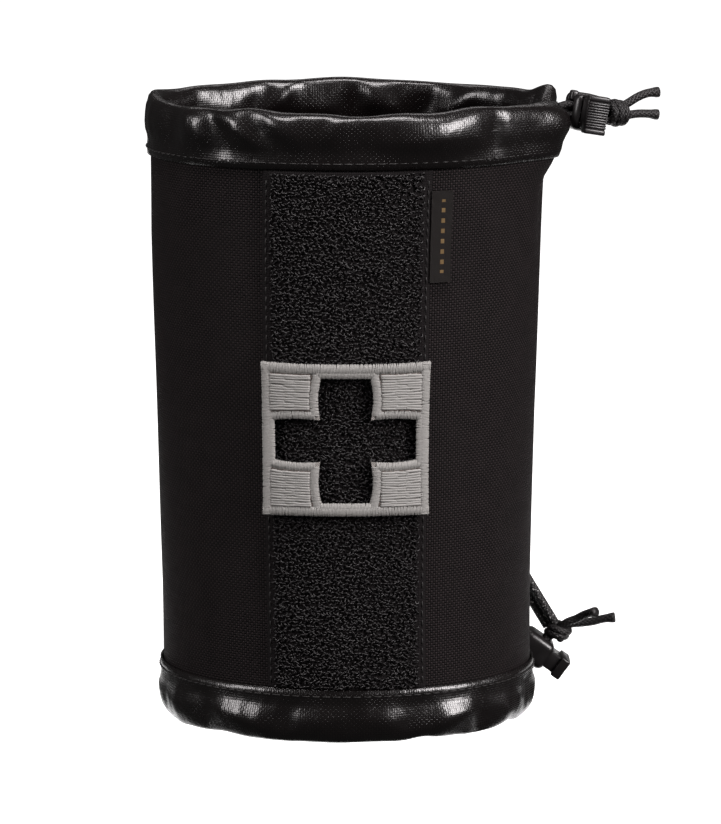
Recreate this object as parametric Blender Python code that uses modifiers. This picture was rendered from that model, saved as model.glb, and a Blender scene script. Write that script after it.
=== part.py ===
"""Open sleeve pouch for a folded tourniquet.

A woven tube stands on its lower hem. A drawcord runs inside each hem and leaves it
through a slot to a sprung cord lock, a stopper knot and two cut tails. The front carries
a hook-and-loop field with a peel-off cross patch, the back two webbing rows and two
snap-down mounting straps.

Sizes are in millimetres; points turn into metres when a mesh is made. +Z is up, the
front faces -Y, and the pouch stands on Z = 0.
"""

from math import atan2, cos, copysign, pi, radians, sin, sqrt

import bmesh
import bpy
from mathutils import Matrix, Vector

MM = 0.001
GAP = 0.3  # room between two pieces that touch on the real pouch

# Moves the tube's own axis so that the pouch's box is centred on the frame's origin.
FRAME_SHIFT = Vector((-1.2, 0.1, 0.0))

HEIGHT = 191.5
HEM_HEIGHT = 17.0
FABRIC = 0.6  # half the thickness of the tube's wall
CHANNEL = 1.9  # half the clear width of a drawcord channel
CORD = 3.0
SIDES = 60  # facets around the tube

# Centre line of the wall: height, half width, half depth, centre in X.
SECTIONS = (
    (0.0, 54.6, 44.2, 0.4),
    (9.4, 56.0, 45.8, 0.4),
    (17.0, 56.4, 46.2, 0.4),
    (40.0, 56.4, 46.4, 0.2),
    (95.0, 57.6, 46.5, 0.0),
    (150.0, 59.2, 46.5, 0.2),
    (173.0, 59.6, 46.5, 0.6),
    (182.0, 60.0, 46.5, 1.2),
    (191.5, 59.8, 46.2, 1.2),
)

LOOP_LOW, LOOP_HIGH = HEM_HEIGHT + GAP, HEIGHT - HEM_HEIGHT - GAP
PATCH_LOW, PATCH_HIGH = 71.0, 117.3
CROSS_MIDDLE = 93.9
CROSS_REACH = (20.6, 19.4)  # half lengths of the arms across and up
CROSS_ARM = (7.2, 6.4)  # half widths of the upright and of the level arm

MATERIALS = {
    "woven_fabric": ((0.012, 0.011, 0.011), 0.85, 0.0),
    "coated_fabric": ((0.014, 0.013, 0.013), 0.35, 0.0),
    "loop_tape": ((0.008, 0.008, 0.009), 0.95, 0.0),
    "hook_tape": ((0.012, 0.012, 0.012), 0.7, 0.0),
    "label_ribbon": ((0.02, 0.016, 0.014), 0.6, 0.0),
    "patch_twill": ((0.47, 0.45, 0.42), 0.8, 0.0),
    "patch_thread": ((0.52, 0.5, 0.47), 0.55, 0.0),
    "webbing": ((0.013, 0.012, 0.012), 0.7, 0.0),
    "elastic_cord": ((0.02, 0.019, 0.019), 0.6, 0.0),
    "moulded_plastic": ((0.03, 0.03, 0.031), 0.4, 0.0),
    "spring_steel": ((0.6, 0.6, 0.6), 0.3, 1.0),
    "snap_metal": ((0.03, 0.03, 0.03), 0.35, 1.0),
}


def clear_scene():
    for item in list(bpy.data.objects):
        bpy.data.objects.remove(item, do_unlink=True)


def new_collection(name):
    made = bpy.data.collections.new(name)
    bpy.context.scene.collection.children.link(made)
    return made


def material(name):
    found = bpy.data.materials.get(name)
    if found:
        return found
    colour, roughness, metallic = MATERIALS[name]
    made = bpy.data.materials.new(name)
    made.use_nodes = True
    shader = made.node_tree.nodes["Principled BSDF"]
    shader.inputs["Base Color"].default_value = (*colour, 1.0)
    shader.inputs["Roughness"].default_value = roughness
    shader.inputs["Metallic"].default_value = metallic
    return made


def place(item, parent=None, matrix=None, group=None):
    """Put an object in its collection, under its parent empty and at its place."""
    (group or PIECES).objects.link(item)
    if parent:
        item.parent = parent
    if matrix:
        item.matrix_basis = matrix
    return item


def empty(name, matrix, parent=None):
    """An empty on a joint's axis; matrix is in metres."""
    return place(bpy.data.objects.new(name, None), parent, matrix)


def finish_mesh(shape, name, material_name, smooth=30.0):
    mesh = bpy.data.meshes.new(name)
    bmesh.ops.recalc_face_normals(shape, faces=shape.faces)
    shape.to_mesh(mesh)
    shape.free()
    mesh.shade_smooth()
    mesh.set_sharp_from_angle(angle=radians(smooth))
    if material_name:
        mesh.materials.append(material(material_name))
    return bpy.data.objects.new(name, mesh)


# ---------------------------------------------------------------- the sleeve's surface


def section_at(height):
    rows = SECTIONS
    if height <= rows[0][0]:
        return rows[0][1:]
    for low, high in zip(rows, rows[1:]):
        if height <= high[0]:
            share = (height - low[0]) / (high[0] - low[0])
            return tuple(a + (b - a) * share for a, b in zip(low[1:], high[1:]))
    return rows[-1][1:]


def wall_point(angle, height, offset=0.0):
    """A point at an angle from +X, moved outwards from the middle of the wall."""
    wide, deep, middle = section_at(height)
    out = Vector((cos(angle) / wide, sin(angle) / deep, 0.0)).normalized()
    point = Vector((middle + wide * cos(angle), deep * sin(angle), height))
    return point + out * offset + FRAME_SHIFT


def wall_normal(angle, height):
    wide, deep, _ = section_at(height)
    return Vector((cos(angle) / wide, sin(angle) / deep, 0.0)).normalized()


def angle_for_arc(centre, distance, height):
    """The angle whose arc length from the centre angle is the distance."""
    steps = 4000
    wide, deep, _ = section_at(height)
    turn, run = centre, 0.0
    step = copysign(0.5 / steps, distance) * pi
    while run < abs(distance):
        run += abs(step) * sqrt((wide * sin(turn)) ** 2 + (deep * cos(turn)) ** 2)
        turn += step
    return turn


def sleeve_ring(name, profile, material_name):
    """A closed band round the sleeve: profile is (offset, height) points."""
    shape = bmesh.new()
    rings = []
    for number in range(SIDES):
        turn = 2 * pi * number / SIDES
        rings.append([shape.verts.new(wall_point(turn, z, out) * MM) for out, z in profile])
    count = len(profile)
    for number in range(SIDES):
        here, there = rings[number], rings[(number + 1) % SIDES]
        for k in range(count):
            n = (k + 1) % count
            shape.faces.new((here[k], there[k], there[n], here[n]))
    return place(finish_mesh(shape, name, material_name))


def wall_panel(name, spans, inner, outer, material_name, parent=None):
    """A curved plate on the sleeve from a grid of rows (height, angles).

    Every row has the same number of angles; the plate is solid between the two offsets.
    """
    shape = bmesh.new()
    skins = []
    for offset in (inner, outer):
        skins.append([[shape.verts.new(wall_point(a, z, offset) * MM) for a in angles]
                      for z, angles in spans])
    rows, columns = len(spans), len(spans[0][1])
    for skin in skins:
        for r in range(rows - 1):
            for c in range(columns - 1):
                shape.faces.new((skin[r][c], skin[r][c + 1], skin[r + 1][c + 1], skin[r + 1][c]))
    rim = [(0, c) for c in range(columns)]
    rim += [(r, columns - 1) for r in range(1, rows)]
    rim += [(rows - 1, c) for c in range(columns - 2, -1, -1)]
    rim += [(r, 0) for r in range(rows - 2, 0, -1)]
    for (r, c), (s, d) in zip(rim, rim[1:] + rim[:1]):
        shape.faces.new((skins[0][r][c], skins[0][s][d], skins[1][s][d], skins[1][r][c]))
    made = finish_mesh(shape, name, material_name)
    if parent:
        made.data.transform(parent.matrix_basis.inverted())
    return place(made, parent)


FRONT, BACK = -pi / 2, pi / 2


def arc_angles(centre, start, stop, height, pieces):
    low = angle_for_arc(centre, start, height)
    high = angle_for_arc(centre, stop, height)
    return [low + (high - low) * k / pieces for k in range(pieces + 1)]


def straight_panel(name, centre, left, right, low, high, inner, outer, material_name, pieces,
                   parent=None):
    angles = arc_angles(centre, left, right, (low + high) / 2, pieces)
    middle = (low + high) / 2
    spans = [(z, angles) for z in (low, middle, high)]
    return wall_panel(name, spans, inner, outer, material_name, parent)


# ---------------------------------------------------------------- blocks, tubes and cuts


def block(name, size, centre, material_name, parent, bevel=0.0, group=None):
    """A box in its parent's axes, sizes and centre in millimetres."""
    shape = bmesh.new()
    bmesh.ops.create_cube(shape, size=1.0)
    bmesh.ops.scale(shape, vec=Vector(size) * MM, verts=shape.verts)
    bmesh.ops.translate(shape, vec=Vector(centre) * MM, verts=shape.verts)
    made = finish_mesh(shape, name, material_name)
    if bevel:
        rounding = made.modifiers.new("rounded_edges", "BEVEL")
        rounding.width = bevel * MM
        rounding.segments = 2
        rounding.limit_method = "ANGLE"
    return place(made, parent, group=group)


def cut(target, cutters, operation="DIFFERENCE"):
    for cutter in cutters:
        cutter.hide_render = True
        cutter.display_type = "WIRE"
        step = target.modifiers.new(cutter.name, "BOOLEAN")
        step.operation = operation
        step.solver = "EXACT"
        step.object = cutter


def smooth_route(points, spacing):
    """Points at even steps along a Catmull-Rom curve through the given ones."""
    points = [Vector(p) for p in points]
    padded = [points[0] * 2 - points[1], *points, points[-1] * 2 - points[-2]]
    dense = []
    for k in range(1, len(padded) - 2):
        a, b, c, d = padded[k - 1 : k + 3]
        for step in range(24):
            t = step / 24
            dense.append(0.5 * (2 * b + (c - a) * t + (2 * a - 5 * b + 4 * c - d) * t * t
                                + (3 * b - a - 3 * c + d) * t ** 3))
    dense.append(points[-1])
    total = sum((b - a).length for a, b in zip(dense, dense[1:]))
    count = max(2, round(total / spacing))
    kept, run, wanted = [dense[0]], 0.0, total / count
    for a, b in zip(dense, dense[1:]):
        run += (b - a).length
        while run >= wanted * len(kept) - 1e-6 and len(kept) < count:
            kept.append(b)
    kept.append(dense[-1])
    return kept


def tube(name, points, diameter, material_name, parent=None, sides=2, squeeze=None):
    """A round cord or wire through points given in the parent's axes."""
    curve = bpy.data.curves.new(name, "CURVE")
    curve.dimensions = "3D"
    curve.bevel_depth = diameter / 2 * MM
    curve.bevel_resolution = sides
    curve.use_fill_caps = True
    spline = curve.splines.new("POLY")
    spline.points.add(len(points) - 1)
    for number, (slot, point) in enumerate(zip(spline.points, points)):
        slot.co = (*(Vector(point) * MM), 1.0)
        slot.radius = squeeze[number] if squeeze else 1.0
    curve.materials.append(material(material_name))
    return place(bpy.data.objects.new(name, curve), parent)


# ---------------------------------------------------------------- tube, hems, drawcords

# One hem, from its sewn edge over the channel and back; heights run down from the rim.
HEM_FOLD = (
    (1.6, -HEM_HEIGHT), (1.6, -11.6), (2.7, -9.4), (2.7, -1.6), (1.6, 0.0),
    (-1.6, 0.0), (-2.7, -1.6), (-2.7, -9.4), (-1.6, -11.6), (-1.6, -HEM_HEIGHT),
    (-0.9, -HEM_HEIGHT), (-0.9, -11.3), (-2.0, -9.1), (-2.0, -1.5), (-1.2, -0.8),
    (1.2, -0.8), (2.0, -1.5), (2.0, -9.1), (0.9, -11.3), (0.9, -HEM_HEIGHT),
)
CHANNEL_DEPTH = 5.1  # the drawcord's middle below the rim
CORD_STEP = 1.65  # half the distance between the two cord ends side by side
TOP_EXIT, BOTTOM_EXIT = 0.0, radians(40.0)
TOP_RISE = 1.95  # half the distance between the two ends in the upper exit slot
BOTTOM_SPREAD = 2.3  # the same in the lower slot, where they lie side by side
TURN_RADIUS = 3.4
EXIT_REACH = 3.6  # where the held cord ends, out from the middle of the wall


def make_sleeve():
    top, bottom = HEIGHT - 12.0, 12.0
    wall = [(FABRIC, z) for z in (bottom, 40, 95, 150, top)]
    wall += [(-FABRIC, z) for z in (top, 150, 95, 40, bottom)]
    sleeve_ring("body_tube", wall, "woven_fabric")
    for name, rim, way, exit_angle, slot in (
        ("top_hem", HEIGHT, 1, TOP_EXIT, (6.0, 6.4, 7.8)),
        ("bottom_hem", 0.0, -1, BOTTOM_EXIT, (6.0, 11.0, 4.4)),
    ):
        profile = [(out, rim + way * drop) for out, drop in HEM_FOLD]
        hem = sleeve_ring(name, profile, "coated_fabric")
        height = rim - way * CHANNEL_DEPTH
        seat = wall_point(exit_angle, height, CHANNEL - 0.4 + slot[0] / 2) * MM
        turn = Matrix.Rotation(outward_angle(exit_angle, height), 4, "Z")
        holder = empty(name + "_exit", Matrix.Translation(seat) @ turn)
        cut(hem, [block(name + "_slot", slot, (0, 0, 0), None, holder, group=CUTTERS)])


def outward_angle(angle, height):
    out = wall_normal(angle, height)
    return atan2(out.y, out.x)


def exit_frame(angle, height):
    out = wall_normal(angle, height)
    return wall_point(angle, height), out, Vector((-out.y, out.x, 0.0))


def drawcord(name, exit_angle, height, rise, spread):
    """The cord held in a channel, from one end of its exit slot round to the other.

    rise and spread set the two ends above or beside each other.
    """
    origin, out, along = exit_frame(exit_angle, height)
    up = Vector((0, 0, 1))
    points = []
    for side in (1, -1):
        middle = origin + up * rise * side + along * spread * side
        corner = middle + out * TURN_RADIUS + along * side * TURN_RADIUS
        arc = []
        for step in range(5):
            turn = step * pi / 8
            arc.append(corner - along * side * TURN_RADIUS * cos(turn) - out * TURN_RADIUS * sin(turn))
        arc.insert(0, middle + out * EXIT_REACH)
        points.append(arc)
    reach = (spread + TURN_RADIUS + 3.5) / 50.0
    count = 44
    ring = []
    for step in range(count + 1):
        share = step / count
        turn = exit_angle + reach + (2 * pi - 2 * reach) * share
        ring.append(wall_point(turn, height + rise * (1 - 2 * share)))
    return tube(name, points[0] + ring + points[1][::-1], CORD, "elastic_cord")


# ---------------------------------------------------------------- cord locks

LOCK_LENGTH = 11.0  # along the plunger
LOCK_ACROSS = 9.6  # the way the cord runs
LOCK_TALL = 11.5
POCKET_DEPTH = 10.2
BORE_DEPTH = 4.0  # of the cord's bore below the plunger's side
PINCHED = 2.2  # the cord's diameter where the plunger squeezes it
HEAD = (7.0, 11.8, 3.2)
HEAD_GAP = 2.9
TRAVEL = 2.4
STEM = (5.6, 9.2)
SPRING_WIRE = 0.5
SPRING_TURNS = 3


def lock_frame(centre, plunger_way, roll):
    """Axes of a lock: local X along the cord, Y along its long side, Z along the plunger."""
    way = Vector(plunger_way).normalized()
    side = Vector((0, 0, 1)) if abs(way.z) < 0.3 else Vector((0, -1, 0))
    tall = (side - way * side.dot(way)).normalized()
    tall = Matrix.Rotation(roll, 3, way) @ tall
    cord = tall.cross(way).normalized()
    turned = Matrix((cord, tall, way)).transposed().to_4x4()
    return Matrix.Translation((Vector(centre) + FRAME_SHIFT) * MM) @ turned


def cord_lock(prefix, matrix):
    """Body, plunger and spring; the frame's middle is the middle of the body."""
    seat = empty(prefix + "_lock", matrix)
    face = LOCK_LENGTH / 2
    bore = face - BORE_DEPTH
    body = block(prefix + "_lock_body", (LOCK_ACROSS, LOCK_TALL, LOCK_LENGTH), (0, 0, 0),
                 "moulded_plastic", seat, bevel=1.5)
    pocket = block(prefix + "_pocket", (STEM[0] + 2 * GAP, STEM[1] + 2 * GAP, POCKET_DEPTH + 2),
                   (0, 0, face - POCKET_DEPTH + (POCKET_DEPTH + 2) / 2), None, seat, group=CUTTERS)
    hole = block(prefix + "_bore", (LOCK_ACROSS + 4, CORD + 2 * CORD_STEP + 0.8, PINCHED + 0.8),
                 (0, 0, bore), None, seat, group=CUTTERS)
    cut(body, [pocket, hole])
    axis = empty(prefix + "_plunger_axis", Matrix.Translation((0, 0, face * MM)), seat)
    slot_low = -BORE_DEPTH - PINCHED / 2 - 0.4
    slot_high = -BORE_DEPTH + PINCHED / 2 + 0.4 + TRAVEL
    stem_low = slot_low - 1.0
    plunger = block(prefix + "_plunger", HEAD, (0, 0, HEAD_GAP + HEAD[2] / 2),
                    "moulded_plastic", axis, bevel=0.7)
    stem = block(prefix + "_stem", (STEM[0], STEM[1], HEAD_GAP + 0.8 - stem_low),
                 (0, 0, (HEAD_GAP + 0.8 + stem_low) / 2), None, axis, group=CUTTERS)
    window = block(prefix + "_window",
                   (STEM[0] + 2, CORD + 2 * CORD_STEP + 0.8, slot_high - slot_low),
                   (0, 0, (slot_low + slot_high) / 2), None, axis, group=CUTTERS)
    cut(plunger, [stem], "UNION")
    cut(plunger, [window])
    floor = face - POCKET_DEPTH + GAP + SPRING_WIRE / 2
    roof = face + stem_low - GAP - SPRING_WIRE / 2
    coil = []
    for step in range(SPRING_TURNS * 10 + 1):
        turn = 2 * pi * step / 10
        level = floor + (roof - floor) * step / (SPRING_TURNS * 10)
        coil.append((2.0 * cos(turn), 2.0 * sin(turn), level))
    tube(prefix + "_spring", coil, SPRING_WIRE, "spring_steel", seat, sides=1)
    return seat


# ---------------------------------------------------------------- free cord beyond a hem

RUN_START = -LOCK_ACROSS / 2 - 0.2
KNOT = (2.9, 4.7, 4.2)  # half sizes along the cord, along the long side, along the plunger


def free_cord(prefix, seat, exit_angle, height, rise, spread, order, knot_at, tails, bend):
    """Two strands from the exit slot through the lock to the knot, and the tails past it."""
    origin, out, along = exit_frame(exit_angle, height)
    into = seat.matrix_basis.inverted()
    bore = LOCK_LENGTH / 2 - BORE_DEPTH
    pull = empty(prefix + "_cord_end", Matrix(), seat)
    for side, letter in ((1, "a"), (-1, "b")):
        start = origin + Vector((0, 0, rise * side)) + along * spread * side
        start = start + out * (EXIT_REACH + 2 * GAP)
        local = into @ (start * MM) / MM
        heading = into.to_3x3() @ out
        beside = CORD_STEP * side * order
        entry = Vector((RUN_START - GAP, beside, bore))
        bow = heading * bend * 0.4
        straight = entry - Vector((0.6, 0, 0))
        link = smooth_route([local, local + bow, straight - Vector((bend * 0.3, 0, 0)), straight], 1.6)
        link.append(entry)
        tube(f"{prefix}_cord_link_{letter}", link, CORD, "elastic_cord", seat)
        knot = Vector(knot_at)
        face = Vector((knot.x - KNOT[0] - 2 * GAP, beside * 0.8, (bore + knot.z) / 2))
        mouth = Vector((LOCK_ACROSS / 2 + 0.4, beside, bore))
        run = [Vector((RUN_START, beside, bore)), Vector((RUN_START + 0.7, beside, bore)),
               Vector((0, beside, bore)), mouth - Vector((0.6, 0, 0)), mouth,
               (mouth + face) / 2, face]
        pinch = PINCHED / CORD
        tube(f"{prefix}_cord_run_{letter}", run, CORD, "elastic_cord", pull,
             squeeze=[pinch, pinch, pinch, pinch, pinch, 0.85, 0.95])
        tail = smooth_route(tails[letter], 2.4)
        tube(f"{prefix}_cord_tail_{letter}", tail, CORD, "elastic_cord", pull)
    shape = bmesh.new()
    bmesh.ops.create_uvsphere(shape, u_segments=14, v_segments=8, radius=1.0)
    bmesh.ops.rotate(shape, matrix=Matrix.Rotation(pi / 2, 3, "Y"), verts=shape.verts)
    bmesh.ops.scale(shape, vec=Vector(KNOT) * MM, verts=shape.verts)
    bmesh.ops.translate(shape, vec=Vector(knot_at) * MM, verts=shape.verts)
    place(finish_mesh(shape, prefix + "_cord_knot", "elastic_cord", 60.0), pull)


# Places in the frame of the tube's axis before FRAME_SHIFT; each lock's own axes for
# its knot and tails.
TOP_LOCK = {"centre": (72.6, 4.0, 186.2), "plunger_way": (0.342, -0.94, 0.0), "roll": radians(-10)}
TOP_KNOT = (10.5, 1.0, 1.1)
TOP_TAILS = {
    "a": [(13.4, 4.4, 1.1), (16.6, 6.9, 1.1), (19.7, 8.6, 1.1), (23.2, 9.5, 1.1)],
    "b": [(13.9, 0.9, 1.1), (17.4, 1.9, 1.1), (20.8, 2.4, 1.1), (24.1, 2.6, 1.1)],
}
BOTTOM_LOCK = {"centre": (60.2, 33.0, 11.4), "plunger_way": (0.814, 0.0, -0.581), "roll": 0.0}
BOTTOM_KNOT = (9.8, 0.0, 2.8)
BOTTOM_TAILS = {
    "a": [(13.2, 1.75, 3.2), (15.5, 2.3, 5.0), (18.2, 3.3, 6.1), (20.3, 4.6, 7.3), (21.4, 5.9, 8.1)],
    "b": [(13.2, -1.75, 4.6), (15.2, -1.7, 8.0), (17.5, -1.2, 10.5), (20.1, -0.6, 12.5),
          (22.6, 0.0, 15.0)],
}


def make_cords():
    drawcord("top_drawcord", TOP_EXIT, HEIGHT - CHANNEL_DEPTH, TOP_RISE, 0.0)
    drawcord("bottom_drawcord", BOTTOM_EXIT, CHANNEL_DEPTH, 0.0, BOTTOM_SPREAD)
    top = cord_lock("top", lock_frame(**TOP_LOCK))
    free_cord("top", top, TOP_EXIT, HEIGHT - CHANNEL_DEPTH, TOP_RISE, 0.0, 1,
              TOP_KNOT, TOP_TAILS, 1.5)
    bottom = cord_lock("bottom", lock_frame(**BOTTOM_LOCK))
    free_cord("bottom", bottom, BOTTOM_EXIT, CHANNEL_DEPTH, 0.0, BOTTOM_SPREAD, -1,
              BOTTOM_KNOT, BOTTOM_TAILS, 6.0)
    return bottom


# ---------------------------------------------------------------- front: field, label, patch

TAPE_INNER, TAPE_OUTER = 0.9, 2.4


def make_front():
    straight_panel("loop_field", FRONT, -24.6, 24.6, LOOP_LOW, LOOP_HIGH,
                   TAPE_INNER, TAPE_OUTER, "loop_tape", 12)
    straight_panel("side_label", FRONT, 25.8, 31.8, 140.6, 168.0, TAPE_INNER, 1.7,
                   "label_ribbon", 2)
    middle = wall_point(FRONT, CROSS_MIDDLE, 0.0)
    axis = empty("patch_axis", Matrix.Translation(middle * MM))
    arms = []
    for name, half_wide, half_tall in (("upright", CROSS_ARM[0], CROSS_REACH[1]),
                                       ("level", CROSS_REACH[0], CROSS_ARM[1])):
        arms.append(block("cross_" + name, (2 * half_wide, 40.0, 2 * half_tall), (0, 0, 0),
                          None, axis, group=CUTTERS))
    cut(arms[0], [arms[1]], "UNION")
    for name, inner, outer, look in (("patch_hook_backing", 2.7, 3.7, "hook_tape"),
                                     ("patch_frame", 4.0, 5.0, "patch_twill")):
        plate = straight_panel(name, FRONT, -23.9, 23.9, PATCH_LOW, PATCH_HIGH,
                               inner, outer, look, 12, axis)
        cut(plate, [arms[0]])
    for name, side, low in (("upper_left", -1, 102.9), ("upper_right", 1, 102.9),
                            ("lower_left", -1, 73.2), ("lower_right", 1, 73.2)):
        near, far = sorted((side * 9.6, side * 21.2))
        straight_panel("patch_fill_" + name, FRONT, near, far, low, low + 11.7,
                       5.3, 5.8, "patch_thread", 3, axis)


# ---------------------------------------------------------------- back: webbing and straps

WEBBING_ROWS = {"webbing_row_upper": (110.0, 135.0), "webbing_row_lower": (60.0, 85.0)}
STRAP_WIDE, STRAP_THICK = 25.0, 1.5
STRAP_LOW, STRAP_HIGH = 36.0, 158.0
STRAP_ARC = 19.5  # each strap's middle from the middle of the back
STRAP_INNER = 2.8
SNAP_HEIGHT, SNAP_RADIUS = 46.0, 6.0


def disc(name, radius, low, high, height, material_name, parent):
    """A turned disc on a strap's axes: X along the wall, Y outwards."""
    shape = bmesh.new()
    bmesh.ops.create_cone(shape, cap_ends=True, segments=24, radius1=radius * MM,
                          radius2=radius * MM * 0.86, depth=(high - low) * MM)
    turn = Matrix.Rotation(-pi / 2, 4, "X")
    middle = Matrix.Translation(Vector((0, (low + high) / 2, height)) * MM)
    bmesh.ops.transform(shape, matrix=middle @ turn, verts=shape.verts)
    return place(finish_mesh(shape, name, material_name), parent)


def make_back():
    for name, (low, high) in WEBBING_ROWS.items():
        straight_panel(name, BACK, -35.0, 35.0, low, high, TAPE_INNER, TAPE_OUTER, "webbing", 16)
    for name, side in (("left", 1), ("right", -1)):
        angle = angle_for_arc(BACK, side * STRAP_ARC, CROSS_MIDDLE)
        out = outward_angle(angle, CROSS_MIDDLE)
        turn = Matrix.Rotation(out - pi / 2, 4, "Z")
        foot = wall_point(angle, CROSS_MIDDLE)
        foot.z = 0.0
        wall = empty(f"strap_{name}_wall", Matrix.Translation(foot * MM) @ turn)
        disc(f"snap_stud_{name}", SNAP_RADIUS * 0.8, 1.1, STRAP_INNER - GAP, SNAP_HEIGHT,
             "snap_metal", wall)
        hinge = Vector((0, STRAP_INNER + STRAP_THICK / 2, STRAP_HIGH))
        axis = empty(f"strap_{name}_axis", Matrix.Translation(hinge * MM), wall)
        long = STRAP_HIGH - STRAP_LOW
        block(f"mounting_strap_{name}", (STRAP_WIDE, STRAP_THICK, long), (0, 0, -long / 2),
              "webbing", axis)
        outer = STRAP_THICK / 2
        disc(f"snap_cap_{name}", SNAP_RADIUS, outer + GAP, outer + GAP + 1.4,
             SNAP_HEIGHT - STRAP_HIGH, "snap_metal", axis)


# ---------------------------------------------------------------- retaining elastic

TAB_ARC, TAB_HEIGHT = -41.0, 60.0
TAB_OUT = 3.0  # the elastic's middle out from the wall where the tab holds it
LOOP_RADIUS = 4.6


def make_retainer(lock_seat):
    """A sewn tab on the back holds a doubled elastic whose ends are tied in the knot."""
    angle = angle_for_arc(BACK, TAB_ARC, TAB_HEIGHT)
    apex = wall_point(angle, TAB_HEIGHT, TAB_OUT)
    knot = lock_seat.matrix_basis @ (Vector(BOTTOM_KNOT) * MM) / MM
    way = (knot - apex).normalized()
    out = wall_normal(angle, TAB_HEIGHT)
    across = out.cross(way).normalized()
    bend = apex + way * LOOP_RADIUS
    reach = (knot - apex).length - max(KNOT) - 1.2
    points = [apex + way * reach + across * CORD_STEP]
    points.append(apex + way * (reach * 0.45) + across * (CORD_STEP + 0.3))
    for step in range(7):
        turn = pi * step / 6
        points.append(bend + across * LOOP_RADIUS * cos(turn) - way * LOOP_RADIUS * sin(turn))
    points.append(apex + way * (reach * 0.45) - across * (CORD_STEP + 0.3))
    points.append(apex + way * reach - across * CORD_STEP)
    tube("retainer_elastic", smooth_route(points, 3.0), CORD, "elastic_cord")
    level = (way - out * way.dot(out)).normalized()
    frame = Matrix((out.cross(level), level, out)).transposed().to_4x4()
    wall = wall_point(angle, TAB_HEIGHT, 0.0)
    seat = empty("retainer_seat", Matrix.Translation(wall * MM) @ frame)
    tab = block("retainer_tab", (5.0, 9.0, 5.0), (0, 0, 3.7), "webbing", seat, bevel=0.5)
    cut(tab, [block("retainer_tunnel", (8.0, 5.6, 4.6), (0, 0.7, 2.9), None, seat, group=CUTTERS)])


clear_scene()
PIECES = new_collection("tourniquet_pouch")
CUTTERS = new_collection("cutters")
make_sleeve()
bottom_seat = make_cords()
make_front()
make_back()
make_retainer(bottom_seat)
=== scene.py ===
"""Looks of the drawcord pouch: woven sleeve, glossy hems, hook-and-loop front, cross patch.

Lengths in the helpers are millimetres, and meshes are in metres in the frame of the CAD.
"""

from math import cos, pi, radians, sin

import bmesh
import bpy
import numpy as np
from mathutils import Matrix, Vector


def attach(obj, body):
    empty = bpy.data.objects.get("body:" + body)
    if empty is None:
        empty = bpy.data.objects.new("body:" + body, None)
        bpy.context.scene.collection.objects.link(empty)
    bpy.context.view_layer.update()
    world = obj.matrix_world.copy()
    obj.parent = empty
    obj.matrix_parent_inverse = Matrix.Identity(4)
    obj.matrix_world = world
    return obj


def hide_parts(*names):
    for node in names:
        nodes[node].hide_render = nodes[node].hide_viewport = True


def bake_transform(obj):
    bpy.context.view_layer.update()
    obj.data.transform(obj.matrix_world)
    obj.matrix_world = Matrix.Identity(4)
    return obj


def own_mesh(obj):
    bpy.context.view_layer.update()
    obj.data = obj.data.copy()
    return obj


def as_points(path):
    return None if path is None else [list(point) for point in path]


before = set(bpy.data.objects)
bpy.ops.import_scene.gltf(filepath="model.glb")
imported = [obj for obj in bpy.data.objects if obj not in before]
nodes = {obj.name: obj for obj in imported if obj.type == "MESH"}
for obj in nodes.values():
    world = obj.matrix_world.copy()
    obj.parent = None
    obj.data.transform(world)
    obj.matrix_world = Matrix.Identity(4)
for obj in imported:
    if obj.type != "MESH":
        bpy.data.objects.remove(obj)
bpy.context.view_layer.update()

# ---------------------------------------------------------------- camera, light, floor
# A pale studio sweep: two tall soft boxes beside the camera, one overhead, and a
# white floor. The camera looks slightly down on the mouth of the pouch.

scene = bpy.context.scene
scene.view_settings.view_transform = "Standard"
aim, pitch = Vector((-0.0012, 0.0001, 0.0936)), radians(10.3)
lens = bpy.data.cameras.new("camera")
lens.sensor_fit, lens.sensor_height, lens.lens = "VERTICAL", 36.0, 199.0
lens.shift_x = 0.0182
camera = bpy.data.objects.new("camera", lens)
camera.location = aim + Vector((0, -cos(pitch), sin(pitch))) * 1.406
camera.rotation_euler = (pi / 2 - pitch, 0, 0)
scene.collection.objects.link(camera)
scene.camera = camera

for name, place, size, power in (
    ("soft_box_left", (-1.3, -0.75, 0.7), (0.45, 0.9), 15.0),
    ("soft_box_right", (1.25, -0.8, 0.75), (0.6, 0.9), 36.0),
    ("soft_box_over", (0.0, -0.4, 1.5), (1.0, 0.25), 15.0),
    ("soft_box_back", (0.1, 1.0, 1.0), (0.9, 0.2), 1.5),
):
    lamp = bpy.data.lights.new(name, "AREA")
    lamp.shape, lamp.size, lamp.size_y, lamp.energy = "RECTANGLE", *size, power
    lamp.color = (1.0, 0.955, 0.96)
    holder = bpy.data.objects.new(name, lamp)
    holder.location = place
    way = Vector((0, 0, 0.12)) - holder.location
    holder.rotation_euler = way.to_track_quat("-Z", "Y").to_euler()
    scene.collection.objects.link(holder)

world = bpy.data.worlds.new("studio")
world.use_nodes = True
world.node_tree.nodes["Background"].inputs["Color"].default_value = (1.0, 0.99, 0.98, 1)
world.node_tree.nodes["Background"].inputs["Strength"].default_value = 0.05
scene.world = world


class Value:
    """A shader socket that takes part in arithmetic."""

    def __init__(self, shader, socket):
        self.shader, self.socket = shader, socket

    def math(self, kind, *others):
        node = self.shader.node("Math", operation=kind)
        for slot, value in zip(node.inputs, (self, *others)):
            self.shader.feed(slot, value)
        return Value(self.shader, node.outputs[0])

    def __add__(self, other):
        return self.math("ADD", other)

    def __mul__(self, other):
        return self.math("MULTIPLY", other)

    def __sub__(self, other):
        return self.math("SUBTRACT", other)

    def __truediv__(self, other):
        return self.math("DIVIDE", other)

    def __rsub__(self, other):
        return self * -1.0 + other

    __radd__, __rmul__ = __add__, __mul__


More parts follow.
